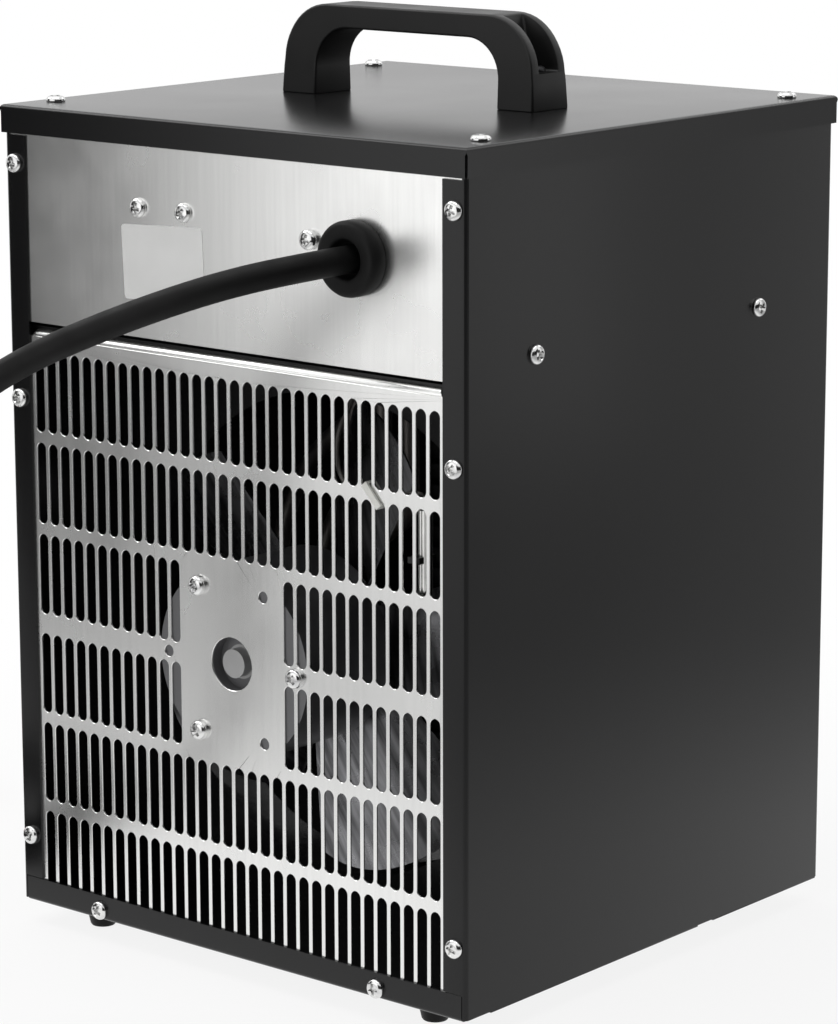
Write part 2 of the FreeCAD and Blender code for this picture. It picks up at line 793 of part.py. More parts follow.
def partition_plate():
    """The floor of the control space, on the lips of both grilles, screwed to the side panels."""
    reach = "in_y - partition_inset"
    plate = block(("-in_x", f"-({reach})", "divider_z"), ("in_x", reach, "divider_z + galv_sheet"))
    flanges = []
    for side in SIDES:
        low, high = span(side, "in_x - galv_sheet", "in_x")
        inset = "partition_inset - partition_flange_inset"
        flanges.append(block((low, f"-(in_y + {inset})", "divider_z"),
                             (high, f"in_y + {inset}", "divider_z + partition_flange")))
    holes = [rod("element_dia / 2 + element_fit", (x, "element_y", "divider_z - 3"), "galv_sheet + 6", "+z")
             for x in element_legs()]
    holes.append(rod("capillary_hole / 2", (capillary_x, capillary_y, "divider_z - 3"),
                     "galv_sheet + 6", "+z"))
    return cut(join(plate, *flanges), side_bores[-1], side_bores[1], group(holes))


def element_legs():
    return [f"{s} * (element_leg + {k} * element_leg_pitch)" for s in SIDES for k in range(3)]


capillary_x = "bulb_x + capillary_shift"
capillary_y = "back_y - lip_depth - capillary_set"


def fan_shroud():
    plate = block(("-in_x", "shroud_y - galv_sheet", "floor_z"), ("in_x", "shroud_y", "divider_z"))
    folds = []
    for side in SIDES:
        low, high = span(side, "in_x - galv_sheet", "in_x")
        folds.append(block((low, "shroud_y - shroud_flange", "floor_z"), (high, "shroud_y", "divider_z")))
    collar = rod("shroud_r + galv_sheet", ("0", "shroud_y", "axis_z"), "collar_depth", "-y")
    mouth = rod("shroud_r", ("0", "shroud_y + 5", "axis_z"), "collar_depth + 10", "-y")
    return cut(join(plate, collar, *folds), mouth)


# Motor and fan

def motor_housing():
    """Closed can with a dished end shield; heights are measured forward from the grille's inner face."""
    can = "motor_dia / 2"
    dish = "motor_plate_hole / 2"
    boss = "motor_boss_dia / 2"
    bore = "shaft_dia / 2 + shaft_fit"
    wall = "motor_dia / 2 - motor_wall"
    front = "motor_length"
    nose = "motor_length - motor_shield / 2"
    body = turned([
        ("0", "motor_boss_set"), (boss, "motor_boss_set"), (boss, "motor_dish_depth"),
        (dish, "motor_dish_depth"), (dish, "0"), (can, "0"), (can, front), (bore, front), (bore, nose),
        (wall, nose), (wall, "motor_shield"),
        (bore, "motor_shield"), (bore, "motor_dish_depth + 2"), ("0", "motor_dish_depth + 2")])
    move(body, ("0", "back_y", "axis_z"), "-y")
    return cut(body, bores(motor_spots, "+y", "screw_length + 1"))


def motor_stator():
    body = ring_body("motor_dia / 2 - motor_wall - press_fit", "rotor_dia / 2 + rotor_gap",
                     "motor_shield + stator_end_gap", "motor_length - motor_shield / 2 - stator_end_gap")
    return move(body, ("0", "back_y", "axis_z"), "-y")


def motor_rotor():
    body = ring_body("rotor_dia / 2", "shaft_dia / 2 + press_fit",
                     "motor_shield + stator_end_gap", "motor_length - motor_shield / 2 - stator_end_gap")
    return move(body, ("0", "back_y", "axis_z"), "-y")


def motor_shaft():
    start = "back_y - motor_dish_depth - 3"
    return rod("shaft_dia / 2", ("0", start, "axis_z"), f"{start} - shaft_end_y", "-y")


def fan_blades():
    """Cambered sheet blades on a hub; each is a bent strip trimmed to its outline."""
    thick, camber = size("fan_blade_thick"), size("fan_blade_camber")
    pitch = math.radians(size("fan_blade_pitch"))
    chord = size("fan_blade_chord")
    root, half = size("fan_blade_root"), size("fan_blade_width") / 2
    along = Vector(0, math.sin(pitch), math.cos(pitch))
    across = Vector(0, math.cos(pitch), -math.sin(pitch))

    def bow(offset):
        sag = camber - math.sqrt(camber ** 2 - chord ** 2)
        ends = [along * (side * chord) + across * (offset - sag / 2) for side in SIDES]
        return Part.Arc(ends[0], across * (offset + sag / 2), ends[1])

    upper, lower = bow(thick / 2), bow(-thick / 2)
    section = Part.Wire([upper.toShape(), Part.LineSegment(upper.EndPoint, lower.EndPoint).toShape(),
                         lower.toShape(), Part.LineSegment(lower.StartPoint, upper.StartPoint).toShape()])
    strip = Part.Face(section).extrude(Vector(P.fan_r + 20, 0, 0))
    shoulder = P.fan_r - size("fan_blade_shoulder")
    narrow = size("fan_hub_dia") / 4
    tip = Part.Arc(Vector(shoulder, -60, -half), Vector(P.fan_r, -60, 0), Vector(shoulder, -60, half))
    start, end = Vector(root - 10, -60, -narrow), Vector(root - 10, -60, narrow)
    outline = Part.Wire([tip.toShape(), Part.LineSegment(tip.EndPoint, end).toShape(),
                         Part.LineSegment(end, start).toShape(),
                         Part.LineSegment(start, tip.StartPoint).toShape()])
    blade = strip.common(Part.Face(outline).extrude(Vector(0, 120, 0)))
    hub_r, hub_thick = size("fan_hub_dia") / 2, size("fan_hub_thick")
    boss_r, boss = size("fan_boss_dia") / 2, size("fan_boss_length")
    wheel = Part.makeCylinder(hub_r, hub_thick, Vector(0, -hub_thick / 2, 0), Vector(0, 1, 0))
    wheel = wheel.fuse(Part.makeCylinder(boss_r, boss, Vector(0, -boss / 2, 0), Vector(0, 1, 0)))
    blades = []
    count = int(size("fan_blade_count"))
    for k in range(count):
        copy = blade.copy()
        copy.rotate(Vector(), Vector(0, 1, 0), size("fan_blade_start") + 360 * k / count)
        blades.append(copy)
    wheel = wheel.fuse(blades)
    bore = size("shaft_dia") / 2 + size("press_fit")
    wheel = wheel.cut(Part.makeCylinder(bore, 60, Vector(0, -30, 0), Vector(0, 1, 0))).removeSplitter()
    wheel.translate(Vector(0, P.fan_y, P.axis_z))
    return form("wheel", wheel)


def fan_nut():
    nut = doc.addObject("Part::Prism", "nut")
    nut.Polygon = 6
    nut.setExpression("Circumradius", rule("fan_nut_dia / 2"))
    nut.setExpression("Height", rule("fan_nut_thick"))
    move(nut, ("0", "fan_y - fan_boss_length / 2", "axis_z"), "-y")
    return cut(nut, rod("shaft_dia / 2 + press_fit", ("0", "fan_y", "axis_z"), "fan_boss_length * 2", "-y"))


# Heating elements

def edge_wire(edges):
    return Part.Wire([edge.toShape() for edge in edges])


def tube_on(wire, radius, start, heading):
    """A round tube along a wire, with its volume compared to section times length."""
    ring = Part.Wire([Part.Circle(start, heading, radius).toShape()])
    tube = wire.makePipeShell([ring], True, False)
    want = math.pi * radius ** 2 * wire.Length
    if abs(tube.Volume - want) > 0.02 * want or not tube.isValid():
        raise ValueError(f"tube volume {tube.Volume:.0f} is not {want:.0f}")
    return tube


def heating_element(order):
    """One looped tube: a leg down, nearly a full ring round the fan's axis, and a leg up."""
    ring = P.shroud_r - size("element_inset") - order * size("element_pitch")
    leg = size("element_leg") + (2 - order) * size("element_leg_pitch")
    bend = size("element_bend")
    y, axis, top = P.element_y, P.axis_z, P.element_top_z
    rise = math.sqrt((ring + bend) ** 2 - (leg + bend) ** 2)
    lean = Vector(-(leg + bend), 0, rise).normalize()
    middle = Vector(-(leg + bend), y, axis + rise)
    touch = Vector(0, y, axis) + lean * ring
    half_way = (Vector(1, 0, 0) - lean).normalize()
    left = [Part.LineSegment(Vector(-leg, y, top), Vector(-leg, y, middle.z)),
            Part.Arc(Vector(-leg, y, middle.z), middle + half_way * bend, touch)]
    other = Vector(-touch.x, touch.y, touch.z)
    loop = Part.Arc(touch, Vector(0, y, axis - ring), other)
    right = [Part.Arc(other, Vector(-middle.x - half_way.x * bend, y, middle.z + half_way.z * bend),
                      Vector(leg, y, middle.z)),
             Part.LineSegment(Vector(leg, y, middle.z), Vector(leg, y, top))]
    radius = size("element_dia") / 2
    tube = tube_on(edge_wire(left + [loop] + right), radius, Vector(-leg, y, top), Vector(0, 0, -1))
    studs = [Part.makeCylinder(size("element_stud_dia") / 2, size("element_stud_length") + 1,
                               Vector(side * leg, y, top - 1)) for side in SIDES]
    return form("element", tube.fuse(studs).removeSplitter())


def element_bracket():
    """A strip behind the rings, its ends folded against the side panels."""
    back = "element_y + element_dia / 2 + element_fit"
    half = "bracket_width / 2"
    strip = block(("-in_x", back, f"axis_z - {half}"), ("in_x", f"{back} + galv_sheet", f"axis_z + {half}"))
    feet = []
    for side in SIDES:
        low, high = span(side, "in_x - galv_sheet", "in_x")
        feet.append(block((low, back, f"axis_z - {half}"),
                          (high, f"{back} + bracket_foot", f"axis_z + {half}")))
    return join(strip, *feet)


def element_bushes():
    bush = ring_body("bush_dia / 2", "element_dia / 2 + element_fit / 2", "0.01", "bush_height")
    return copies(bush, [(x, "element_y", "divider_z + galv_sheet") for x in element_legs()], "+z")


def star_link():
    """The copper strip that joins the far ends of the three elements."""
    low, high = "element_leg - link_width / 2", "element_leg + 2 * element_leg_pitch + link_width / 2"
    strip = block((low, "element_y - link_width / 2", "element_top_z"),
                  (high, "element_y + link_width / 2", "element_top_z + link_thick"))
    studs = [rod("element_stud_dia / 2 + press_fit", (x, "element_y", "element_top_z - 1"),
                 "link_thick + 2", "+z")
             for x in element_legs()[3:]]
    return cut(strip, group(studs))


# Controls

def control_box(side, wide, back):
    """The moulded body of a control, with the blind bore that its spindle turns in."""
    x = f"{side} * control_spread"
    body = block((f"{x} - {wide} / 2", "-control_back_y", f"control_z - {wide} / 2"),
                 (f"{x} + {wide} / 2", f"-{back}", f"control_z + {wide} / 2"))
    return cut(body, rod("spindle_dia / 2 + spindle_fit", (x, "-control_back_y - 2", "control_z"),
                         "spindle_depth + 2.1", "+y"))


def spindle(side):
    reach = "knob_gap + case_sheet + knob_length - knob_wall"
    return rod("spindle_dia / 2",
               (f"{side} * control_spread", f"-control_y - ({reach} - case_sheet)", "control_z"),
               f"spindle_depth + {reach}", "+y")


def knob(side):
    """A disc with a finger bar across it, bored for its spindle."""
    x, near = f"{side} * control_spread", "-control_y - knob_gap"
    disc = rod("knob_dia / 2", (x, near, "control_z"), "knob_disc", "-y")
    grip = rod("knob_dia / 2 - 1", (x, near, "control_z"), "knob_length", "-y")
    keep = block((f"{x} - knob_bar_width / 2", f"{near} - knob_length - 1", "control_z - knob_dia"),
                 (f"{x} + knob_bar_width / 2", "-control_y", "control_z + knob_dia"))
    bar = doc.addObject("Part::Common", "bar")
    bar.Base = grip
    bar.Tool = keep
    return cut(join(disc, bar), rod("spindle_dia / 2 + press_fit", (x, "-control_y + 2", "control_z"),
                                    "knob_gap + knob_length - knob_wall + 2", "-y"))


def thermostat_bulb():
    return rod("bulb_dia / 2", ("bulb_x", "bulb_y", "bulb_top_z - bulb_length"), "bulb_length", "+z")


def bulb_clip():
    """A black clip that holds the bulb off the inner face of the grille."""
    low, high = "bulb_top_z - bulb_length / 2 - bulb_clip_height", "bulb_top_z - bulb_length / 2"
    half = "bulb_dia / 2 + bulb_clip_wall"
    body = block((f"bulb_x - {half}", f"bulb_y - ({half})", low), (f"bulb_x + {half}", "back_y", high))
    return cut(body, rod("bulb_dia / 2 + press_fit", ("bulb_x", "bulb_y", f"{low} - 2"),
                         "bulb_clip_height + 4", "+z"))


def capillary_tie():
    """A white nylon tie, looped through two slots round the bar between the upper rows."""
    pitch, clear = size("slot_pitch"), size("tie_from_bar")
    upper = P.axis_z + size("slot_middle_bar") / 2 + 2 * (size("slot_length") + size("slot_bar")) + clear
    lower = upper - size("slot_bar") - 2 * clear
    wanted = P.bulb_x + size("tie_from_bulb")
    first = min(rear_slot_columns(), key=lambda x: abs(x - wanted))
    a, b = Vector(first, 0, upper), Vector(first - pitch, 0, lower)
    lean, reach = (b - a).normalize(), (b - a).Length
    thick, wide, gap = size("tie_thick"), size("tie_width"), size("tie_gap")
    front = size("galv_sheet") + gap + thick
    rear = size("capillary_dia") + 2 * gap + thick
    side = Vector(lean.z, 0, -lean.x)

    def slab(long, near, far):
        low = (a + b) * 0.5 - lean * (long / 2) - side * (wide / 2) + Vector(0, P.back_y + near, 0)
        corners = [low, low + lean * long, low + lean * long + side * wide, low + side * wide, low]
        return Part.Face(Part.makePolygon(corners)).extrude(Vector(0, far - near, 0))

    loop = slab(reach + thick, -rear, front).cut(slab(reach - thick, -rear + thick, front - thick))
    return form("loop", loop)


def thermal_cutout():
    return rod("cutout_dia / 2", ("cutout_shift", "element_y - cutout_front", "divider_z"),
               "cutout_height", "-z")


# Electrical connection

def terminal_block():
    x, half = "terminal_shift", "terminal_length / 2"
    low, high = "terminal_z - terminal_height / 2", "terminal_z + terminal_height / 2"
    body = block((f"{x} - {half}", "terminal_front_y", low), (f"{x} + {half}", "back_y", high))
    grooves = []
    for k in range(-2, 2):
        middle = f"{x} + ({k} + 0.5) * terminal_pole"
        grooves.append(block((f"{middle} - 0.6", "terminal_front_y - 2", "terminal_z - 3"),
                             (f"{middle} + 0.6", "terminal_front_y + 4", f"{high} + 2")))
    return cut(body, group(grooves), panel_bores)


def cable_gland():
    """A rubber grommet; heights are measured outward from the panel's outer face."""
    bore = "cable_dia / 2 + gland_fit"
    wall = "galv_sheet"
    body = turned([
        (bore, f"-{wall} - gland_back"), ("gland_back_dia / 2", f"-{wall} - gland_back"),
        ("gland_back_dia / 2", f"-{wall}"), ("gland_neck / 2", f"-{wall}"), ("gland_neck / 2", "0"),
        ("gland_dia / 2", "0"), ("gland_dia / 2", "gland_proud - gland_bevel"),
        ("gland_dia / 2 - gland_bevel", "gland_proud"), ("gland_mouth / 2", "gland_proud"),
        ("gland_mouth / 2", "gland_proud - gland_mouth_depth"), (bore, "gland_proud - gland_mouth_depth")])
    return move(body, ("gland_x", "in_y", "gland_z"), "+y")


def cable_clamp():
    """A collar round the cable behind the gland, with a foot screwed to the panel."""
    front = "gland_back_y - gland_fit"
    outer = "cable_dia / 2 + clamp_wall"
    collar = rod(outer, ("gland_x", front, "gland_z"), "clamp_length", "-y")
    half = "clamp_block / 2"
    foot = block((f"clamp_x - {half}", f"{front} - clamp_length", f"clamp_z - {half}"),
                 (f"clamp_x + {half}", "back_y", f"clamp_z + {half}"))
    arm = block(("gland_x", f"{front} - clamp_length", "clamp_z - 4"), ("clamp_x", front, "clamp_z + 1"))
    hole = rod("cable_dia / 2 + press_fit", ("gland_x", f"{front} + 2", "gland_z"), "clamp_length + 4", "-y")
    return cut(join(collar, foot, arm), hole, panel_bores)


def rating_label():
    """A blank sticker, put on slightly crooked."""
    label = doc.addObject("Part::Box", "sticker")
    label.setExpression("Length", rule("label_width"))
    label.setExpression("Width", rule("label_thick"))
    label.setExpression("Height", rule("label_height"))
    label.Placement = Placement(Vector(), Rotation(Vector(0, 1, 0), size("label_tilt")))
    corner_place = ("label_shift - label_width / 2", "in_y", "top_z - label_drop - label_height / 2")
    for axis, text in zip("xyz", corner_place):
        label.setExpression("Placement.Base." + axis, rule(text))
    return label


# Wires, thin tube and cable along routes of straight runs joined by arcs

def corner(before, at, after):
    """The tangent arc that rounds one corner of a route, and its radius."""
    back, ahead = before - at, after - at
    reach = 0.45 * min(back.Length, ahead.Length)
    back.normalize()
    ahead.normalize()
    half_turn = (math.pi - back.getAngle(ahead)) / 2
    radius = reach / math.tan(half_turn)
    inward = (back + ahead).normalize()
    crown = at + inward * (radius / math.cos(half_turn) - radius)
    return Part.Arc(at + back * reach, crown, at + ahead * reach), radius


def route(points):
    """One smooth wire along the points, and the radii of its bends."""
    edges, radii, last = [], [], points[0]
    for k in range(1, len(points) - 1):
        arc, radius = corner(points[k - 1], points[k], points[k + 1])
        edges.append(Part.LineSegment(last, arc.StartPoint))
        edges.append(arc)
        last = arc.EndPoint
        radii.append(radius)
    edges.append(Part.LineSegment(last, points[-1]))
    return edge_wire(edges), radii


def tube_along(name, points, radius):
    wire, radii = route(points)
    print(f"{name}: length {wire.Length:.1f}, bend radii", " ".join(f"{r:.0f}" for r in radii))
    return tube_on(wire, radius, points[0], points[1] - points[0])


def supply_wires():
    """Five cores from the cable's stripped end to the terminal block, side by side in lanes."""
    radius, lane = size("wire_dia") / 2, size("wire_lane")
    tubes = []
    for k in range(5):
        x = P.gland_x + (2 - k) * (size("wire_dia") + 0.2)
        y = P.cable_end_y - 14 - k * lane
        end_x = size("terminal_shift") + (k - 2) * size("terminal_pole")
        z = P.gland_z
        tubes.append(tube_along("supply wire", [
            Vector(x, P.cable_end_y, z), Vector(x, y, z), Vector(end_x, y, z),
            Vector(end_x, P.terminal_front_y, z)], radius))
    return form("wires", Part.makeCompound(tubes))


def inner_wires():
    """Three leads from the terminal block to the switch and three from the switch to the elements."""
    radius, lane = size("wire_dia") / 2, size("wire_lane")
    pole, gap = size("terminal_pole"), size("switch_width") / 4
    tubes = []
    for k in range(3):
        from_x = size("terminal_shift") + (k - 1) * pole
        to_x = -size("control_spread") + (k - 1) * gap
        y, z = P.fan_y - k * lane, P.terminal_z + 5
        tubes.append(tube_along("switch wire", [
            Vector(from_x, P.terminal_front_y, z), Vector(from_x, y, z), Vector(to_x, y, z),
            Vector(to_x, -P.switch_back_y, z)], radius))
        stud_x = -(size("element_leg") + k * size("element_leg_pitch"))
        start_x = -size("control_spread") + (1 - k) * gap
        y, z = P.element_y - 30 + (k - 1) * 2 * lane, P.control_z - size("switch_width") / 2 + 8
        foot = P.element_top_z + size("element_stud_length")
        tubes.append(tube_along("element wire", [
            Vector(start_x, -P.switch_back_y, z), Vector(start_x, y, z), Vector(stud_x, y, z),
            Vector(stud_x, P.element_y, z), Vector(stud_x, P.element_y, foot)], radius))
    return form("wires", Part.makeCompound(tubes))


def capillary_tube():
    """The thin copper tube from the bulb, behind the bar, up through the partition to the thermostat."""
    radius, gap = size("capillary_dia") / 2, size("tie_gap")
    rise_x = P.bulb_x + size("capillary_shift")
    rise_y = P.back_y - size("lip_depth") - size("capillary_set")
    near = P.back_y - radius - gap
    bar = P.axis_z + size("slot_middle_bar") / 2 + 2 * size("slot_length") + 1.5 * size("slot_bar")
    high = P.top_z - 20
    spread, half = size("control_spread"), size("thermostat_width") / 2
    return form("thin_tube", tube_along("capillary", [
        Vector(P.bulb_x, P.bulb_y, P.bulb_top_z), Vector(P.bulb_x, P.bulb_y + 1, P.bulb_top_z + 7),
        Vector(P.bulb_x + 18, near, bar), Vector(rise_x - 6, near, bar), Vector(rise_x, near - 3, bar + 20),
        Vector(rise_x, rise_y, P.divider_z - 12), Vector(rise_x, rise_y, P.divider_z + 40),
        Vector(rise_x + 4, rise_y - 6, high - 12), Vector(rise_x + 20, rise_y - 26, high),
        Vector(0, 0, high), Vector(spread, -P.thermostat_back_y - 4, high),
        Vector(spread, -P.thermostat_back_y - 14, P.control_z + half)], radius))


def lead_points():
    """The hanging cable: as seen beside the casing, then down to the floor where the coil begins."""
    x, y, z = P.gland_x, P.in_y + size("gland_proud"), P.gland_z
    low = size("cable_dia") / 2 + size("coil_lift")
    points = [Vector(x, P.cable_end_y, z)]
    for right, back, drop in ((0, 17, 0), (16.3, 53, 5.1), (51.3, 75, 19.7), (91.3, 91, 38.7),
                              (123.3, 100, 61.2), (149.3, 108, 100), (166.3, 115, 151)):
        points.append(Vector(x + right, y + back, z - drop))
    for right, back, up in ((179.3, 122, 109), (199.3, 130, 59), (233.3, 138, 19), (273.3, 143, 0),
                            (303.3, 143, 0)):
        points.append(Vector(x + right, y + back, low + up))
    return points


def biarc(start, heading, end, leaving):
    """Two tangent arcs from one point and direction to another."""
    chord = end - start
    both = heading + leaving
    a = 2 * (1 - heading.dot(leaving))
    b, c = 2 * chord.dot(both), -chord.dot(chord)
    reach = (-b + math.sqrt(b * b - 4 * a * c)) / (2 * a)
    first, second = start + heading * reach, end - leaving * reach
    joint = (first + second) * 0.5
    arcs = []
    for near, peak, far in ((start, first, joint), (joint, second, end)):
        middle = (near + far) * 0.5
        rise, half = (peak - middle).Length, (far - near).Length / 2
        radius = half * reach / rise
        sag = radius - math.sqrt(radius ** 2 - half ** 2)
        arcs.append(Part.Arc(near, middle + (peak - middle).normalize() * sag, far))
    return arcs


def coil_frame():
    """The coil's middle, its step between turns and layers, and the height of its lower layer."""
    start = lead_points()[-1] + Vector(size("cable_dia"), 0, 0)
    return start - Vector(0, size("coil_radius"), 0), size("cable_dia") + size("coil_gap"), start.z


def coil_point(turn):
    middle, step, low = coil_frame()
    turns = size("coil_turns")
    radius = size("coil_radius") - step * min(turn, turns - turn)
    climb = min(max((turn - turns / 2) / 0.5 + 0.5, 0), 1)
    angle = math.pi / 2 - 2 * math.pi * turn
    return Vector(middle.x + radius * math.cos(angle), middle.y + radius * math.sin(angle),
                  low + step * climb * climb * (3 - 2 * climb))


def coil_heading(turn):
    if turn in (0, size("coil_turns")):
        angle = math.pi / 2 - 2 * math.pi * turn
        return Vector(math.sin(angle), -math.cos(angle), 0)
    return (coil_point(turn + 0.001) - coil_point(turn - 0.001)).normalize()


def cable_coil():
    """The put-away cable: in and out again in two layers, one unbroken tube with straight ends."""
    turns, straight = size("coil_turns"), size("cable_dia")
    steps = round(turns * 8)
    marks = [turns * k / steps for k in range(steps + 1)]
    start, end = coil_point(0), coil_point(turns)
    begin = start - coil_heading(0) * straight
    edges = [Part.LineSegment(begin, start)]
    for near, far in zip(marks, marks[1:]):
        edges += biarc(coil_point(near), coil_heading(near), coil_point(far), coil_heading(far))
    edges.append(Part.LineSegment(end, end + coil_heading(turns) * straight))
    samples = [turns * k / 1040 for k in range(1041)]
    spots = [coil_point(mark) for mark in samples]
    least = min((spots[i] - spots[j]).Length for i in range(0, 1041, 2) for j in range(i + 160, 1041, 2))
    long, gap = sum(edge.length() for edge in edges), least - size("cable_dia")
    print(f"coil: length {long:.1f}, least gap {gap:.2f}")
    return form("coil", tube_on(edge_wire(edges), size("cable_dia") / 2, begin, coil_heading(0)))


def cable_tie():
    """A strap round the coil's turns, opposite the place where the cable comes and goes."""
    middle, step, low = coil_frame()
    radius, gap, thick = size("cable_dia") / 2, size("coil_tie_gap"), size("coil_tie_thick")
    turns = size("coil_turns")
    inner = size("coil_radius") - step * turns / 2 - radius - gap
    outer = size("coil_radius") - step * (turns / 2 - 1) + radius + gap
    bottom, top = low - radius - 0.1, low + step + radius + gap
    wide = size("coil_tie_width")
    band = Part.makeBox(outer - inner + 2 * thick, wide, top - bottom + 2 * thick,
                        Vector(inner - thick, -wide / 2, bottom - thick))
    band = band.cut(Part.makeBox(outer - inner, wide + 2, top - bottom, Vector(inner, -wide / 2 - 1, bottom)))
    band.rotate(Vector(), Vector(0, 0, 1), 90 - 360 * turns / 2)
    band.translate(Vector(middle.x, middle.y, 0))
    return form("band", band)


def tail_points():
    begin = coil_point(size("coil_turns")) + coil_heading(size("coil_turns")) * size("cable_dia")
    plug_z, long = size("plug_dia") / 2, size("tail_length")
    return [begin, begin + Vector(0, -long * 0.3, 0), Vector(begin.x, begin.y - long * 0.7, plug_z),
            Vector(begin.x, begin.y - long, plug_z)]


def plug_spot():
    """Where the tail ends inside the plug's nut."""
    return tail_points()[-1] + Vector(0, size("plug_nut_length") / 2, 0)


def plug_at(body):
    spot = plug_spot()
    body.Placement = Placement(spot, TURNS["-y"])
    return body


def plug_nut():
    bore = "cable_dia / 2 + press_fit"
    return plug_at(turned([
        (bore, "0"), ("plug_nut_bore / 2 + 4", "0"), ("plug_nut_dia / 2", "plug_nut_length * 0.4"),
        ("plug_nut_dia / 2", "plug_nut_length"), (bore, "plug_nut_length")]))


def plug_body():
    """The plug's housing with its collar ring, key and open sleeve."""
    start = "plug_nut_length"
    ring = "plug_length - plug_sleeve_depth - plug_ring_length"
    floor = "plug_length - plug_sleeve_depth"
    sleeve = "plug_sleeve_dia / 2"
    shell = turned([
        ("0", start), ("plug_nut_dia / 2 - 1", start), ("plug_body_dia / 2", f"{start} + 16"),
        ("plug_body_dia / 2", ring), ("plug_dia / 2", f"{ring} + 3"), ("plug_dia / 2", f"{floor} - 1"),
        (sleeve, floor), (sleeve, "plug_length"), (f"{sleeve} - plug_sleeve_wall", "plug_length"),
        (f"{sleeve} - plug_sleeve_wall", floor), ("0", floor)])
    key = block(("-plug_key / 2", f"{sleeve} - 1", floor),
                ("plug_key / 2", f"{sleeve} + plug_key_rise", "plug_length"))
    return plug_at(join(shell, key))


def plug_pins():
    spot = plug_spot()
    base = spot.y - (size("plug_length") - size("plug_sleeve_depth"))
    pins = []
    for k in range(5):
        turn = math.radians(72 * k - 90)
        radius = size("earth_pin_dia" if k == 0 else "pin_dia") / 2
        reach = size("pin_circle") / 2
        pins.append(Part.makeCylinder(radius, size("pin_length"), Vector(
            spot.x + reach * math.cos(turn), base, spot.z + reach * math.sin(turn)), Vector(0, -1, 0)))
    return form("pins", Part.makeCompound(pins))


# Build every sub-part

node("top_cover", top_cover())
for side, word in ((-1, "left"), (1, "right")):
    node(f"side_panel_{word}", side_panel(side))
node("base_pan", base_pan())
node("rear_upper_panel", rear_upper_panel())
node("rear_grille", rear_grille())
node("front_control_panel", front_control_panel())
node("front_grille", front_grille())
for spot, word in zip(foot_spots, ("left_front", "left_rear", "right_front", "right_rear")):
    node(f"foot_{word}", rubber_foot(spot))
node("handle", handle())
ledge_spots = [(f"{s} * handle_screw_x", "0", "top_z + handle_ledge") for s in SIDES]
node("handle_screws", copies(handle_screw, ledge_spots, "+z"))
nut_spots = [(f"{s} * handle_screw_x", "0", "under_z - handle_nut_thick") for s in SIDES]
node("handle_nuts", copies(handle_nut(), nut_spots, "+z"))
node("partition_plate", partition_plate())
node("fan_shroud", fan_shroud())
node("cover_screws", copies(case_screw, cover_spots, "+z"))
flange_screws = [copies(case_screw, flange_spots[end] + base_spots[end], way) for end, way in ENDS]
side_screws = [copies(case_screw, side_spots[side], way) for side, way in ((-1, "-x"), (1, "+x"))]
node("flange_screws", group(flange_screws))
node("side_screws", group(side_screws))
node("terminal_screws", copies(case_screw, terminal_spots, "+y"))
on_washer = "in_y + washer_thick"
node("clamp_screw", copies(case_screw, [("clamp_x", on_washer, "clamp_z")], "+y"))
washed = [(x, on_washer, z) for x, y, z in motor_spots]
node("motor_screws", copies(case_screw, washed, "+y"))
washer = ring_body("washer_dia / 2", "screw_hole", "0.01", "washer_thick - 0.01")
node("washers", copies(washer, motor_spots + [clamp_spot], "+y"))
node("motor_housing", motor_housing())
node("motor_stator", motor_stator())
node("motor_rotor", motor_rotor())
node("motor_shaft", motor_shaft())
node("fan_blades", fan_blades())
node("fan_nut", fan_nut())
for order, word in enumerate(("outer", "middle", "inner")):
    node(f"heating_element_{word}", heating_element(order))
node("element_bracket", element_bracket())
node("element_bushes", element_bushes())
node("star_link", star_link())
node("mode_switch", control_box(-1, "switch_width", "switch_back_y"))
node("mode_spindle", spindle(-1))
node("mode_knob", knob(-1))
node("thermostat", control_box(1, "thermostat_width", "thermostat_back_y"))
node("thermostat_spindle", spindle(1))
node("thermostat_knob", knob(1))
node("thermostat_bulb", thermostat_bulb())
node("bulb_clip", bulb_clip())
node("capillary_tube", capillary_tube())
node("capillary_tie", capillary_tie())
node("thermal_cutout", thermal_cutout())
node("terminal_block", terminal_block())
node("cable_gland", cable_gland())
node("cable_clamp", cable_clamp())
node("rating_label", rating_label())
node("supply_wires", supply_wires())
node("inner_wires", inner_wires())
node("cable_lead", form("lead", tube_along("cable lead", lead_points(), size("cable_dia") / 2)))
node("cable_coil", cable_coil())
node("cable_tie", cable_tie())
node("cable_tail", form("tail", tube_along("cable tail", tail_points(), size("cable_dia") / 2)))
node("plug_nut", plug_nut())
node("plug_body", plug_body())
node("plug_pins", plug_pins())
doc.recompute()

for thing in doc.Objects:
    if "Invalid" in thing.State or "Error" in thing.State:
        raise ValueError(f"{thing.Name} ({thing.Label}) did not build")
os.makedirs("parts", exist_ok=True)
for thing in NODES:
    if thing.Shape.isNull() or not thing.Shape.isValid() or not thing.Shape.Solids:
        raise ValueError(f"{thing.Label} has no sound shape")
    thing.Shape.exportStep(f"parts/{thing.Label}.step")
print(len(NODES), "sub-parts written")
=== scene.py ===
"""Looks of a portable fan heater, laid out as an add-on and run as a script."""
import json
import math

import bmesh
import bpy
from bpy.props import FloatProperty, FloatVectorProperty, IntProperty, PointerProperty
from mathutils import Matrix, Quaternion, Vector


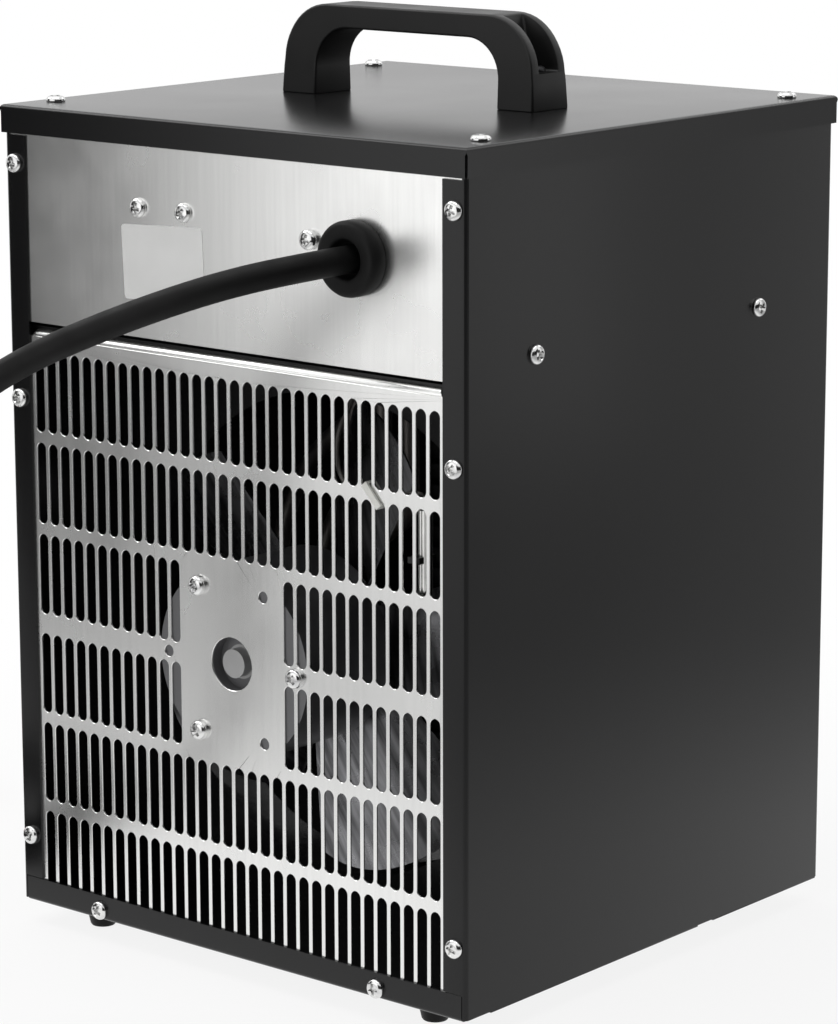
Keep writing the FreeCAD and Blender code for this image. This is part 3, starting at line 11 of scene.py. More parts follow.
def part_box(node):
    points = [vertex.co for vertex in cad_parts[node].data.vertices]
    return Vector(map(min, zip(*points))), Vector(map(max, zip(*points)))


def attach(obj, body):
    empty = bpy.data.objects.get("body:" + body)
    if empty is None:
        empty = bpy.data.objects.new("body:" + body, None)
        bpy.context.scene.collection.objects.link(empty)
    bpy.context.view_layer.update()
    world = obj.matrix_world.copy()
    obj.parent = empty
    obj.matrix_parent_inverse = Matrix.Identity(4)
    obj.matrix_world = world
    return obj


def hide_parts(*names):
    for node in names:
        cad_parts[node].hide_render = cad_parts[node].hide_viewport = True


bl_info = {
    "name": "Portable fan heater",
    "version": (1, 0, 0),
    "blender": (4, 5, 0),
    "location": "View3D > Sidebar > Heater",
    "description": "Builds the visible pieces and finishes of a portable fan heater on its CAD frame",
    "category": "Object",
}

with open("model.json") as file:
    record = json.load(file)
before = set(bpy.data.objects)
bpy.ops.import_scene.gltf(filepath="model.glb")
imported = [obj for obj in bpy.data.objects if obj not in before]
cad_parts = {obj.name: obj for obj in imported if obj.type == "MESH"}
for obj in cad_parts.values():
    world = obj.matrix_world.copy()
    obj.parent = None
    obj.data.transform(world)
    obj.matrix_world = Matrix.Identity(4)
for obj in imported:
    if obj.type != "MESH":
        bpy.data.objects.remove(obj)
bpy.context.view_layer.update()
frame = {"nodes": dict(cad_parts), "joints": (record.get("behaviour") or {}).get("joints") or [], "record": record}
BODY = "heater"
MM = 0.001

# Bare end boss of the motor
BOSS_RADIUS = 7.4 * MM
BOSS_EDGE = 0.2 * MM


def mm(*values):
    """Millimetres as a vector in metres."""
    return Vector(values) * MM


# Values that a user would change

def length(label, text, default):
    return FloatProperty(name=label, description=text, default=default * MM, unit="LENGTH")


def tint(label, text, default):
    return FloatVectorProperty(name=label, description=text, default=default, size=3, subtype="COLOR",
                               min=0, max=1)


def power(label, text, default):
    return FloatProperty(name=label, description=text, default=default, subtype="POWER")


def level(label, text, default):
    return FloatProperty(name=label, description=text, default=default)


def whole(label, text, default):
    return IntProperty(name=label, description=text, default=default)


class HeaterCasing(bpy.types.PropertyGroup):
    bend: length("Bend radius", "Outer radius of the folded edges of the black sheets", 2.0)
    lid_bend: length("Lid bend radius", "Outer radius of the lid's folded edge", 1.9)
    lid_reach: length("Lid reach", "How far the lid's flange reaches below the solid's", 0.7)
    sheet: length("Black sheet", "Thickness of the painted sheets", 1.0)
    corner_slit: length("Corner slit", "Half the width of the open slit at each corner of the lid", 0.8)
    slit_drop: length("Slit drop", "How far below the lid's bend a slit has its full width", 1.2)
    flange: length("Flange", "Width of a side panel's front and back flange", 12.0)
    flange_over_pan: length("Flange over pan", "Gap between a flange and the base pan", 0.4)
    flange_under_lid: length("Flange under lid", "Gap between a flange and the lid", 1.6)
    tongue: length("Base tongue", "How far the base pan reaches under a side panel", 1.4)
    pan_gap: length("Pan gap", "Gap between the base pan's flange and a side panel", 0.4)


class HeaterGrille(bpy.types.PropertyGroup):
    pitch: length("Slot pitch", "Distance between neighbouring slots of the inlet", 7.2)
    slot_width: length("Slot width", "Width of one inlet slot", 5.3)
    slot_length: length("Slot length", "Length of one inlet slot", 35.9)
    bar: length("Bar", "Sheet left between two rows of slots", 4.8)
    middle_bar: length("Middle bar", "Sheet left between the two middle rows", 8.8)
    columns: whole("Columns", "Inlet slots in one full row", 32)
    plate_columns: whole("Plate columns", "Slots left out beside the motor", 8)
    motor_hole: length("Motor hole", "Radius of the hole in front of the motor's boss", 11.5)
    bolt_hole: length("Bolt hole", "Radius of the three empty holes round the motor", 2.5)
    bolt_circle: length("Bolt circle", "Radius on which the motor's screws and holes stand", 36.5)
    vent_length: length("Vent length", "Length of one outlet slot", 68.0)
    vent_width: length("Vent width", "Width of one outlet slot", 6.4)
    vent_pitch: length("Vent pitch", "Distance between outlet slots", 10.4)
    vent_gap: length("Vent gap", "Sheet left between two outlet slots of a row", 6.0)
    vent_margin: length("Vent margin", "Sheet left above and below the outlet slots", 7.5)
    sheet: length("Grille sheet", "Thickness of the punched sheets", 1.0)
    rim: length("Slot rim", "Easing of the inlet slots' edges", 0.2)
    lip_bend: length("Lip bend", "Outer radius of a grille's top lip", 3.0)
    lip_depth: length("Lip depth", "How far a grille's top lip reaches inward", 12.0)
    lip_inset: length("Lip inset", "How much shorter a top lip is at each end", 11.7)
    lip_chamfer: length("Lip chamfer", "How far the lip's upper corners are cut back", 1.2)


class HeaterFasteners(bpy.types.PropertyGroup):
    head: length("Head diameter", "Diameter of a pan head", 8.4)
    rise: length("Head height", "Height of a pan head", 2.6)
    washer: length("Washer", "Thickness of a spring washer", 1.0)
    seed: whole("Seed", "Seed for the turn of each screw's recess", 4)
    handle_seed: whole("Handle seed", "Seed for the turn of the handle screws' recesses", 9)


class HeaterHandle(bpy.types.PropertyGroup):
    shorter: length("Shorter", "How much shorter each end is than the solid's", 0.8)
    lower: length("Lower", "How much lower the grip is than the solid's", 1.0)
    leg: length("Leg", "Width of a leg seen from the side", 19.0)
    grip: length("Grip", "Height of the grip bar", 10.2)
    outer_round: length("Outer round", "Radius of the outer shoulders", 24.0)
    inner_round: length("Inner round", "Radius under the grip", 17.4)
    rim: length("Rim", "Rounding of the long edges", 0.9)
    flare: length("Flare", "How far a leg's foot spreads outward", 0.6)
    ledge: length("Ledge", "Height of the screw ledges above the lid", 15.8)
    recess: length("Recess", "Depth of a screw recess from the handle's end", 15.5)
    recess_width: length("Recess width", "Width of a screw recess", 13.0)
    recess_round: length("Recess round", "Rounding inside a screw recess", 1.0)
    recess_rim: length("Recess rim", "Easing of a recess's edges", 0.45)


class HeaterCable(bpy.types.PropertyGroup):
    diameter: length("Cable diameter", "Outside of the rubber cable", 11.6)
    coil_radius: length("Coil radius", "Middle of the outermost turn", 73.1)
    coil_step: length("Coil step", "Distance between turns and between layers", 12.2)
    coil_turns: level("Coil turns", "Turns in the put-away coil", 3.25)
    plug_axis: length("Plug axis", "Height of the lying plug's axis above the floor", 31.0)


class HeaterFinish(bpy.types.PropertyGroup):
    black: tint("Powder coat", "Colour of the painted sheets", (0.0055, 0.0055, 0.0058))
    zinc: tint("Galvanised sheet", "Colour of the bare galvanised sheets", (0.80, 0.80, 0.79))
    screw: tint("Screws", "Colour of the zinc-plated fasteners", (0.76, 0.76, 0.765))
    plastic: tint("Black moulding", "Colour of the handle and the knobs", (0.006, 0.006, 0.006))
    rubber: tint("Rubber", "Colour of cable, gland and feet", (0.007, 0.007, 0.007))
    plug: tint("Plug housing", "Colour of the plug", (0.52, 0.022, 0.016))
    foil: tint("Sticker foil", "Colour of the blank sticker", (0.80, 0.80, 0.79))


class HeaterStage(bpy.types.PropertyGroup):
    key: power("Key lamp", "Power of the soft light over the inlet's side", 8.0)
    far: power("Far lamp", "Power of the soft light beyond the heater", 2.5)
    top: power("Top lamp", "Power of the wide soft light overhead", 15.0)
    card: level("Card", "Strength of the bright card that the back panel mirrors", 1.33)
    dim: level("Dim side", "Strength of the surroundings behind the camera", 0.08)
    bright: level("Bright side", "Strength of the surroundings beyond the heater", 1.0)
    shadow: level("Shadow", "Share of the floor's own shade that the camera sees", 0.14)


GROUPS = (HeaterCasing, HeaterGrille, HeaterFasteners, HeaterHandle, HeaterCable, HeaterFinish, HeaterStage)
NAMES = ("heater_casing", "heater_grille", "heater_fasteners", "heater_handle", "heater_cable",
         "heater_finish", "heater_stage")


def settings(name):
    return getattr(bpy.context.scene, name)


# Materials

def map_range(nodes, links, source, low, high, first, last, kind="LINEAR"):
    """A value carried from the range first to last into the range low to high."""
    node = nodes.new("ShaderNodeMapRange")
    node.interpolation_type = kind
    node.inputs["From Min"].default_value = first
    node.inputs["From Max"].default_value = last
    node.inputs["To Min"].default_value = low
    node.inputs["To Max"].default_value = high
    links.new(source, node.inputs["Value"])
    return node.outputs["Result"]


def combined(nodes, links, operation, first, second):
    """Two values joined by one operation of a Math node."""
    node = nodes.new("ShaderNodeMath")
    node.operation = operation
    links.new(first, node.inputs[0])
    links.new(second, node.inputs[1])
    return node.outputs[0]


class Finish:
    """A Principled material with object coordinates and short helpers for its nodes."""

    def __init__(self, name, colour, rough, metal=0.0):
        self.material = bpy.data.materials.new(name)
        self.material.use_nodes = True
        self.nodes = self.material.node_tree.nodes
        self.links = self.material.node_tree.links
        self.shader = self.nodes["Principled BSDF"]
        self.shader.inputs["Base Color"].default_value = (*colour, 1)
        self.shader.inputs["Roughness"].default_value = rough
        self.shader.inputs["Metallic"].default_value = metal
        self.colour, self.rough = colour, rough
        self.coords = self.nodes.new("ShaderNodeTexCoord").outputs["Object"]

    def stretched(self, scale):
        mapping = self.nodes.new("ShaderNodeMapping")
        mapping.inputs["Scale"].default_value = scale
        self.links.new(self.coords, mapping.inputs["Vector"])
        return mapping.outputs["Vector"]

    def noise(self, scale, detail=3.0, vector=None):
        node = self.nodes.new("ShaderNodeTexNoise")
        node.inputs["Scale"].default_value = scale
        node.inputs["Detail"].default_value = detail
        self.links.new(vector or self.coords, node.inputs["Vector"])
        return node.outputs["Fac"]

    def ramp(self, source, low, high, first=0.3, last=0.7, kind="LINEAR"):
        return map_range(self.nodes, self.links, source, low, high, first, last, kind)

    def vary_rough(self, source, spread):
        lowest = max(self.rough - spread, 0.02)
        self.links.new(self.ramp(source, lowest, self.rough + spread), self.shader.inputs["Roughness"])

    def blend(self, share, first, second):
        """A base colour that goes from one colour to another."""
        mix = self.nodes.new("ShaderNodeMix")
        mix.data_type = "RGBA"
        mix.inputs[6].default_value = (*first, 1)
        mix.inputs[7].default_value = (*second, 1)
        self.links.new(share, mix.inputs[0])
        self.links.new(mix.outputs[2], self.shader.inputs["Base Color"])

    def vary_colour(self, source, low, high, tinted=(1.0, 1.0, 1.0)):
        """The colour times a factor that follows a texture."""
        darkest = [c * low for c in self.colour]
        lightest = [min(c * high * t, 1) for c, t in zip(self.colour, tinted)]
        self.blend(self.ramp(source, 0, 1), darkest, lightest)

    def reach(self, vector=None):
        """The length of a vector, or the distance from the origin."""
        node = self.nodes.new("ShaderNodeVectorMath")
        node.operation = "LENGTH"
        self.links.new(vector or self.coords, node.inputs[0])
        return node.outputs["Value"]

    def along(self, axis):
        """One of the object coordinates."""
        node = self.nodes.new("ShaderNodeSeparateXYZ")
        self.links.new(self.coords, node.inputs[0])
        return node.outputs[axis]

    def bump(self, source, strength, depth):
        node = self.nodes.new("ShaderNodeBump")
        node.inputs["Strength"].default_value = strength
        node.inputs["Distance"].default_value = depth
        self.links.new(source, node.inputs["Height"])
        if self.shader.inputs["Normal"].is_linked:
            self.links.new(self.shader.inputs["Normal"].links[0].from_socket, node.inputs["Normal"])
        self.links.new(node.outputs["Normal"], self.shader.inputs["Normal"])


def powder_coat():
    """Satin black powder coat with a fine orange-peel skin and faint handling marks."""
    paint = Finish("powder_coat", settings("heater_finish").black, 0.23)
    paint.shader.inputs["Specular IOR Level"].default_value = 0.31
    paint.vary_rough(paint.noise(14, 4), 0.012)
    paint.vary_colour(paint.noise(9, 4), 0.85, 1.2)
    paint.bump(paint.noise(1200, 2), 0.012, 0.0001)
    return paint.material


def galvanised_sheet():
    """Bare galvanised steel: faint rolling streaks and an uneven gloss."""
    zinc = Finish("galvanised_sheet", settings("heater_finish").zinc, 0.25, 1.0)
    streaks = zinc.noise(60, 6, zinc.stretched((9, 9, 0.35)))
    zinc.vary_rough(zinc.noise(28, 5), 0.04)
    zinc.vary_colour(streaks, 0.975, 1.02)
    return zinc.material


def zinc_plate():
    plate = Finish("zinc_plate", settings("heater_finish").screw, 0.15, 1.0)
    plate.vary_rough(plate.noise(600, 3), 0.05)
    plate.vary_colour(plate.noise(300, 3), 0.8, 1.05, (1.0, 1.0, 0.98))
    return plate.material


def black_moulding():
    """Matt black plastic with the fine spark grain of a mould."""
    plastic = Finish("black_moulding", settings("heater_finish").plastic, 0.44)
    plastic.shader.inputs["Specular IOR Level"].default_value = 0.38
    plastic.vary_rough(plastic.noise(60, 4), 0.05)
    plastic.vary_colour(plastic.noise(40, 3), 0.85, 1.2)
    plastic.bump(plastic.noise(1500, 2), 0.12, 0.00012)
    return plastic.material


def rubber_skin():
    rubber = Finish("rubber_skin", settings("heater_finish").rubber, 0.52)
    rubber.shader.inputs["Specular IOR Level"].default_value = 0.14
    rubber.vary_rough(rubber.noise(90, 5), 0.09)
    rubber.vary_colour(rubber.noise(35, 5), 0.75, 1.35)
    rubber.bump(rubber.noise(700, 3), 0.10, 0.0002)
    return rubber.material


def plain_finish(name, colour, rough, metal=0.0, grain=300.0, spread=0.08, depth=0.0001, mottle=0.16):
    """A finish with fine grain, for pieces seen only through the slots or from below."""
    finish = Finish(name, colour, rough, metal)
    finish.vary_rough(finish.noise(grain * 0.3, 4), spread)
    finish.vary_colour(finish.noise(grain * 0.12, 4), 1 - mottle, 1 + mottle)
    finish.bump(finish.noise(grain, 3), 0.1, depth)
    return finish.material


def motor_can():
    """Grey enamel with a bare turned boss round the axis."""
    can = Finish("motor_can", (0.15, 0.15, 0.155), 0.36, 0.5)
    can.vary_rough(can.noise(80, 4), 0.08)
    centre = can.nodes.new("ShaderNodeMapping")
    centre.inputs["Location"].default_value = (0, 0, -frame_axis_z())
    can.links.new(can.coords, centre.inputs["Vector"])
    flat = can.nodes.new("ShaderNodeVectorMath")
    flat.operation = "MULTIPLY"
    flat.inputs[1].default_value = (1, 0, 1)
    can.links.new(centre.outputs["Vector"], flat.inputs[0])
    boss = can.ramp(can.reach(flat.outputs["Vector"]), 1, 0, BOSS_RADIUS - BOSS_EDGE, BOSS_RADIUS + BOSS_EDGE)
    can.blend(boss, can.colour, (0.42, 0.42, 0.42))
    return can.material


def fan_sheet():
    """Brushed sheet of the fan's blades, darkened as painted shade for the dim inside of the casing; its colour
    streaks are partly brushing and partly painted stripes of light cast through the inlet slots.
    """
    # Dark base colour: painted shade for the inside of the casing where the blades sit.
    sheet = Finish("fan_sheet", (0.26, 0.26, 0.27), 0.3, 1.0)
    sheet.vary_rough(sheet.noise(70, 4), 0.08)
    # Slanted streaks in the colour: partly real brushing, partly painted stripes of light and shade that the slots
    # cast on the blades.
    brush_and_light_stripes = sheet.nodes.new("ShaderNodeMapping")
    brush_and_light_stripes.vector_type = "TEXTURE"
    brush_and_light_stripes.inputs["Rotation"].default_value = (0, math.radians(30), 0)
    brush_and_light_stripes.inputs["Scale"].default_value = (3 * MM, 40 * MM, 40 * MM)
    sheet.links.new(sheet.coords, brush_and_light_stripes.inputs["Vector"])
    sheet.vary_colour(sheet.noise(1, 3, brush_and_light_stripes.outputs["Vector"]), 0.4, 1.5)
    sheet.bump(sheet.noise(240, 3), 0.06, 0.0001)
    return sheet.material


def make_materials():
    finish = settings("heater_finish")
    made = {
        "black_paint": powder_coat(),
        "galvanised": galvanised_sheet(),
        "zinc": zinc_plate(),
        "black_plastic": black_moulding(),
        "black_rubber": rubber_skin(),
        "fan_metal": fan_sheet(),
        "motor_paint": motor_can(),
        "steel": plain_finish("turned_steel", (0.46, 0.46, 0.47), 0.3, 1.0, 500),
        "element_steel": plain_finish("heated_tube", (0.20, 0.185, 0.175), 0.45, 0.8, 160),
        "bush_ceramic": plain_finish("bush_ceramic", (0.78, 0.76, 0.70), 0.55, 0.0, 700),
        "copper": plain_finish("copper", (0.66, 0.34, 0.21), 0.3, 1.0, 260),
        "bulb_metal": plain_finish("bright_nickel", (0.82, 0.82, 0.80), 0.18, 1.0, 400),
        "white_nylon": plain_finish("natural_nylon", (0.72, 0.72, 0.68), 0.42, 0.0, 500),
        "grey_moulding": plain_finish("phenolic", (0.22, 0.22, 0.22), 0.5, 0.0, 800),
        "wire_cover": plain_finish("wire_cover", (0.06, 0.055, 0.05), 0.42, 0.0, 500),
        "silver_sticker": plain_finish("sticker_foil", finish.foil, 0.42, 0.4, 420, 0.03, 0.00003, 0.03),
        "black_screw": plain_finish("black_oxide", (0.02, 0.02, 0.022), 0.42, 0.5, 500),
        "red_plastic": plain_finish("plug_shell", finish.plug, 0.30, 0.0, 900, 0.05, 0.00005),
        "grey_plastic": plain_finish("plug_nut_shell", (0.05, 0.05, 0.052), 0.42, 0.0, 900),
        "pin_brass": plain_finish("plated_pin", (0.78, 0.74, 0.62), 0.22, 1.0, 500),
        "mark_white": plain_finish("mark_ink", (0.72, 0.72, 0.70), 0.5, 0.0, 900, 0.05, 0.00002),
    }
    return made


MATERIALS = {}


# Mesh helpers

def plain_mesh(name, form):
    """A bmesh as a mesh of its own; the bmesh is freed."""
    mesh = bpy.data.meshes.new(name)
    form.to_mesh(mesh)
    form.free()
    return mesh


def finished(name, form, slot, body=BODY, replaces=(), smooth=35, clean=True):
    """Turn a bmesh into a piece that rides on a body and stands for CAD nodes."""
    if clean:
        weld(form)
    return settle(name, plain_mesh(name, form), slot, body, replaces, smooth)


def weld(form):
    """Join vertices that lie on each other and turn all faces outward."""
    bmesh.ops.remove_doubles(form, verts=form.verts, dist=1e-6)
    bmesh.ops.recalc_face_normals(form, faces=form.faces)


def settle(name, mesh, slot, body=BODY, replaces=(), smooth=35):
    """Turn a mesh into a smooth piece with its finish, sharp where faces meet at more than an angle."""
    mesh.polygons.foreach_set("use_smooth", [True] * len(mesh.polygons))
    mesh.set_sharp_from_angle(angle=math.radians(smooth))
    mesh.materials.clear()
    mesh.materials.append(MATERIALS[slot])
    piece = bpy.data.objects.new(name, mesh)
    bpy.context.scene.collection.objects.link(piece)
    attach(piece, body)
    if replaces:
        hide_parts(*replaces)
    return piece


def evaluated_mesh(thing):
    """The mesh of an object with its modifiers, as a plain mesh."""
    graph = bpy.context.evaluated_depsgraph_get()
    graph.update()
    return bpy.data.meshes.new_from_object(thing.evaluated_get(graph), depsgraph=graph)


def scratch(data):
    """An object that only carries a mesh or a curve for a while."""
    thing = bpy.data.objects.new("scratch", data)
    bpy.context.scene.collection.objects.link(thing)
    return thing


def discard(thing):
    bpy.data.objects.remove(thing, do_unlink=True)


def turned(profile, steps, place=None):
    """A surface turned about Z from radius and height points, as a bmesh."""
    form = bmesh.new()
    angles = [2 * math.pi * k / steps for k in range(steps)]
    rings = []
    for radius, height in profile:
        if radius < 1e-9:
            rings.append([form.verts.new((0, 0, height))] * steps)
            continue
        rings.append([form.verts.new((radius * math.cos(angle), radius * math.sin(angle), height))
                      for angle in angles])
    for lower, upper in zip(rings, rings[1:]):
        for k in range(steps):
            corners = []
            for vert in (lower[k], lower[(k + 1) % steps], upper[(k + 1) % steps], upper[k]):
                if vert not in corners:
                    corners.append(vert)
            if len(corners) > 2:
                form.faces.new(corners)
    if place is not None:
        bmesh.ops.transform(form, matrix=place, verts=form.verts)
    return form


def box(form, low, high, bevel=0.0, segments=2):
    """A box between two corners, with its edges rounded, added to a bmesh."""
    low, high = Vector(low), Vector(high)
    place = Matrix.Translation((low + high) / 2) @ Matrix.Diagonal((*(high - low), 1))
    made = bmesh.ops.create_cube(form, size=1, matrix=place)
    if bevel:
        edges = {edge for vert in made["verts"] for edge in vert.link_edges}
        bmesh.ops.bevel(form, geom=list(edges), offset=bevel, segments=segments, profile=0.5, affect="EDGES")
    return form


def in_metres(profile):
    """Points of a profile from millimetres to metres."""
    return [(radius * MM, height * MM) for radius, height in profile]


def quarter(steps, start=0.0):
    """Cosine and sine at even steps through a quarter turn, from a starting angle in degrees."""
    turns = [math.radians(start + 90 * k / steps) for k in range(steps + 1)]
    return [(math.cos(turn), math.sin(turn)) for turn in turns]


def round_corners(a, b, c, d, corner, steps):
    """A closed ring of points round a rectangle from a to b and from c to d, with round corners."""
    ring = []
    corners = ((b, d, 1, 1, 0), (a, d, -1, 1, 90), (a, c, -1, -1, 180), (b, c, 1, -1, 270))
    for px, pz, sx, sz, start in corners:
        for out, up in quarter(steps, start):
            ring.append((px - sx * corner + corner * out, pz - sz * corner + corner * up))
    return ring


def bridge(form, first, second, closed=True):
    """Faces between two rows of vertices, round to the start again where the rows are closed."""
    count = len(first)
    for k in range(count if closed else count - 1):
        n = (k + 1) % count
        form.faces.new((first[k], first[n], second[n], second[k]))


def modified(mesh, kind, **values):
    """A mesh after one modifier, as a plain mesh."""
    carrier = scratch(mesh)
    modifier = carrier.modifiers.new(kind.lower(), kind)
    for key, value in values.items():
        setattr(modifier, key, value)
    made = evaluated_mesh(carrier)
    carrier.modifiers.clear()
    discard(carrier)
    return made


def thickened(mesh, sheet):
    """A sheet's outer skin given its thickness inward."""
    return modified(mesh, "SOLIDIFY", thickness=sheet, offset=-1, use_even_offset=True)


def eased(mesh, width, segments, angle, clamp=True):
    """A mesh whose edges sharper than an angle are slightly rounded."""
    return modified(mesh, "BEVEL", width=width, segments=segments, limit_method="ANGLE",
                    angle_limit=math.radians(angle), use_clamp_overlap=clamp)


def carved(mesh, cutter):
    """A mesh with another cut out of it."""
    tool = scratch(cutter)
    made = modified(mesh, "BOOLEAN", operation="DIFFERENCE", object=tool, solver="EXACT", use_self=True)
    discard(tool)
    return made


def keep_flat(mesh, area):
    """Stop the shading of eased edges from spreading over the large flat faces."""
    for face in mesh.polygons:
        if face.area > area:
            for loop in face.loop_indices:
                mesh.edges[mesh.loops[loop].edge_index].use_edge_sharp = True


# Node trees

class Tree:
    """A geometry node tree with named inputs, built and applied in code."""

    KINDS = {float: "NodeSocketFloat", int: "NodeSocketInt", Vector: "NodeSocketVector",
             bpy.types.Object: "NodeSocketObject", bpy.types.Material: "NodeSocketMaterial"}

    def __init__(self, name, inputs):
        self.tree = bpy.data.node_groups.new(name, "GeometryNodeTree")
        self.tree.interface.new_socket("Geometry", in_out="INPUT", socket_type="NodeSocketGeometry")
        self.tree.interface.new_socket("Geometry", in_out="OUTPUT", socket_type="NodeSocketGeometry")
        self.keys = {}
        for label, kind in inputs.items():
            made = self.tree.interface.new_socket(label, in_out="INPUT", socket_type=self.KINDS[kind])
            self.keys[label] = made.identifier
        self.source = self.tree.nodes.new("NodeGroupInput")
        self.sink = self.tree.nodes.new("NodeGroupOutput")

    def value(self, label):
        return self.source.outputs[label]

    def node(self, kind, inputs=None, **settings_of):
        made = self.tree.nodes.new(kind)
        for key, setting in settings_of.items():
            setattr(made, key, setting)
        for key, given in (inputs or {}).items():
            if isinstance(given, bpy.types.NodeSocket):
                self.tree.links.new(given, made.inputs[key])
            else:
                made.inputs[key].default_value = given
        return made

    def finish(self, geometry, material="Material"):
        """End in real geometry with its material set."""
        real = self.node("GeometryNodeRealizeInstances", {"Geometry": geometry})
        coat = self.node("GeometryNodeSetMaterial", {"Geometry": real.outputs[0],
                                                     "Material": self.value(material)})
        self.tree.links.new(coat.outputs[0], self.sink.inputs[0])

    def apply(self, mesh, values):
        """Run the tree on a mesh and give the result as a plain mesh."""
        carrier = scratch(mesh)
        modifier = carrier.modifiers.new("nodes", "NODES")
        modifier.node_group = self.tree
        for label, given in values.items():
            modifier[self.keys[label]] = given
        carrier.update_tag()
        made = evaluated_mesh(carrier)
        carrier.modifiers.clear()
        discard(carrier)
        return made


def punched_sheet_tree():
    """A flat sheet with a slot at every point, or a round hole where the point has a radius."""
    tree = Tree("punched_sheet", {"Width": float, "Height": float, "Middle": Vector, "Slot Width": float,
                                  "Slot Height": float, "Slot Round": float, "Sheet": float,
                                  "Material": bpy.types.Material})
    sheet = tree.node("GeometryNodeCurvePrimitiveQuadrilateral",
                      {"Width": tree.value("Width"), "Height": tree.value("Height")})
    sheet = tree.node("GeometryNodeTransform", {"Geometry": sheet.outputs[0],
                                                "Translation": tree.value("Middle")})
    slot = tree.node("GeometryNodeCurvePrimitiveQuadrilateral",
                     {"Width": tree.value("Slot Width"), "Height": tree.value("Slot Height")})
    slot = tree.node("GeometryNodeFilletCurve", {"Curve": slot.outputs[0], "Radius": tree.value("Slot Round"),
                                                 "Count": 7}, mode="POLY")
    hole = tree.node("GeometryNodeCurvePrimitiveCircle", {"Resolution": 28, "Radius": 1.0})
    radius = tree.node("GeometryNodeInputNamedAttribute", {"Name": "hole_radius"}, data_type="FLOAT")
    is_hole = tree.node("FunctionNodeCompare", {"A": radius.outputs[0], "B": 1e-6}, operation="GREATER_THAN")
    no_hole = tree.node("FunctionNodeBooleanMath", {0: is_hole.outputs[0]}, operation="NOT")
    points = tree.source.outputs[0]
    slots = tree.node("GeometryNodeInstanceOnPoints", {"Points": points, "Selection": no_hole.outputs[0],
                                                       "Instance": slot.outputs[0]})
    holes = tree.node("GeometryNodeInstanceOnPoints", {"Points": points, "Selection": is_hole.outputs[0],
                                                       "Instance": hole.outputs[0],
                                                       "Scale": radius.outputs[0]})
    lines = tree.node("GeometryNodeJoinGeometry")
    for part in (holes, slots, sheet):
        tree.tree.links.new(part.outputs[0], lines.inputs[0])
    lines = tree.node("GeometryNodeRealizeInstances", {"Geometry": lines.outputs[0]})
    face = tree.node("GeometryNodeFillCurve", {"Curve": lines.outputs[0]}, mode="TRIANGLES")
    raised = tree.node("GeometryNodeExtrudeMesh", {"Mesh": face.outputs[0], "Individual": False,
                                                   "Offset Scale": tree.value("Sheet")})
    under = tree.node("GeometryNodeFlipFaces", {"Mesh": face.outputs[0]})
    both = tree.node("GeometryNodeJoinGeometry")
    for part in (raised, under):
        tree.tree.links.new(part.outputs[0], both.inputs[0])
    welded = tree.node("GeometryNodeMergeByDistance", {"Geometry": both.outputs[0], "Distance": 1e-6})
    tree.finish(welded.outputs[0])
    return tree


def fastener_tree():
    """One fastener at every point, turned to face along the point's own direction."""
    tree = Tree("fasteners", {"Fastener": bpy.types.Object, "Seed": int, "Largest Turn": float,
                              "Material": bpy.types.Material})
    info = tree.node("GeometryNodeObjectInfo", {"Object": tree.value("Fastener")})
    way = tree.node("GeometryNodeInputNamedAttribute", {"Name": "facing"}, data_type="FLOAT_VECTOR")
    aligned = tree.node("FunctionNodeAlignRotationToVector", {"Vector": way.outputs[0]}, axis="Z")
    turn = tree.node("FunctionNodeRandomValue", {"Seed": tree.value("Seed"), 3: tree.value("Largest Turn")},
                     data_type="FLOAT")
    spin = tree.node("FunctionNodeAxisAngleToRotation", {"Axis": (0, 0, 1), "Angle": turn.outputs[1]})
    both = tree.node("FunctionNodeRotateRotation", {0: aligned.outputs[0], 1: spin.outputs[0]},
                     rotation_space="LOCAL")
    placed = tree.node("GeometryNodeInstanceOnPoints", {"Points": tree.source.outputs[0],
                                                        "Rotation": both.outputs[0],
                                                        "Instance": info.outputs["Geometry"]})
    tree.finish(placed.outputs[0])
    return tree


def ring_of_bars_tree():
    """Small bars set round an arc, such as the marks of a dial or the grip ribs of a plug."""
    tree = Tree("ring_of_bars", {"Count": int, "Radius": float, "Start": float, "Sweep": float, "Bar": Vector,
                                 "Material": bpy.types.Material})
    line = tree.node("GeometryNodeMeshLine", {"Count": tree.value("Count"), "Offset": (0, 0, 0)})
    index = tree.node("GeometryNodeInputIndex")
    last = tree.node("ShaderNodeMath", {0: tree.value("Count"), 1: 1.0}, operation="SUBTRACT")
    share = tree.node("ShaderNodeMath", {0: index.outputs[0], 1: last.outputs[0]}, operation="DIVIDE")
    angle = tree.node("ShaderNodeMath", {0: share.outputs[0], 1: tree.value("Sweep"), 2: tree.value("Start")},
                      operation="MULTIPLY_ADD")
    across = tree.node("ShaderNodeMath", {0: angle.outputs[0]}, operation="COSINE")
    up = tree.node("ShaderNodeMath", {0: angle.outputs[0]}, operation="SINE")
    way = tree.node("ShaderNodeCombineXYZ", {"X": across.outputs[0], "Y": up.outputs[0]})
    spot = tree.node("ShaderNodeVectorMath", {0: way.outputs[0], "Scale": tree.value("Radius")},
                     operation="SCALE")
    moved = tree.node("GeometryNodeSetPosition", {"Geometry": line.outputs[0], "Position": spot.outputs[0]})
    bar = tree.node("GeometryNodeMeshCube", {"Size": tree.value("Bar")})
    turn = tree.node("ShaderNodeCombineXYZ", {"Z": angle.outputs[0]})
    placed = tree.node("GeometryNodeInstanceOnPoints", {"Points": moved.outputs[0],
                                                        "Instance": bar.outputs[0],
                                                        "Rotation": turn.outputs[0]})
    tree.finish(placed.outputs[0])
    return tree


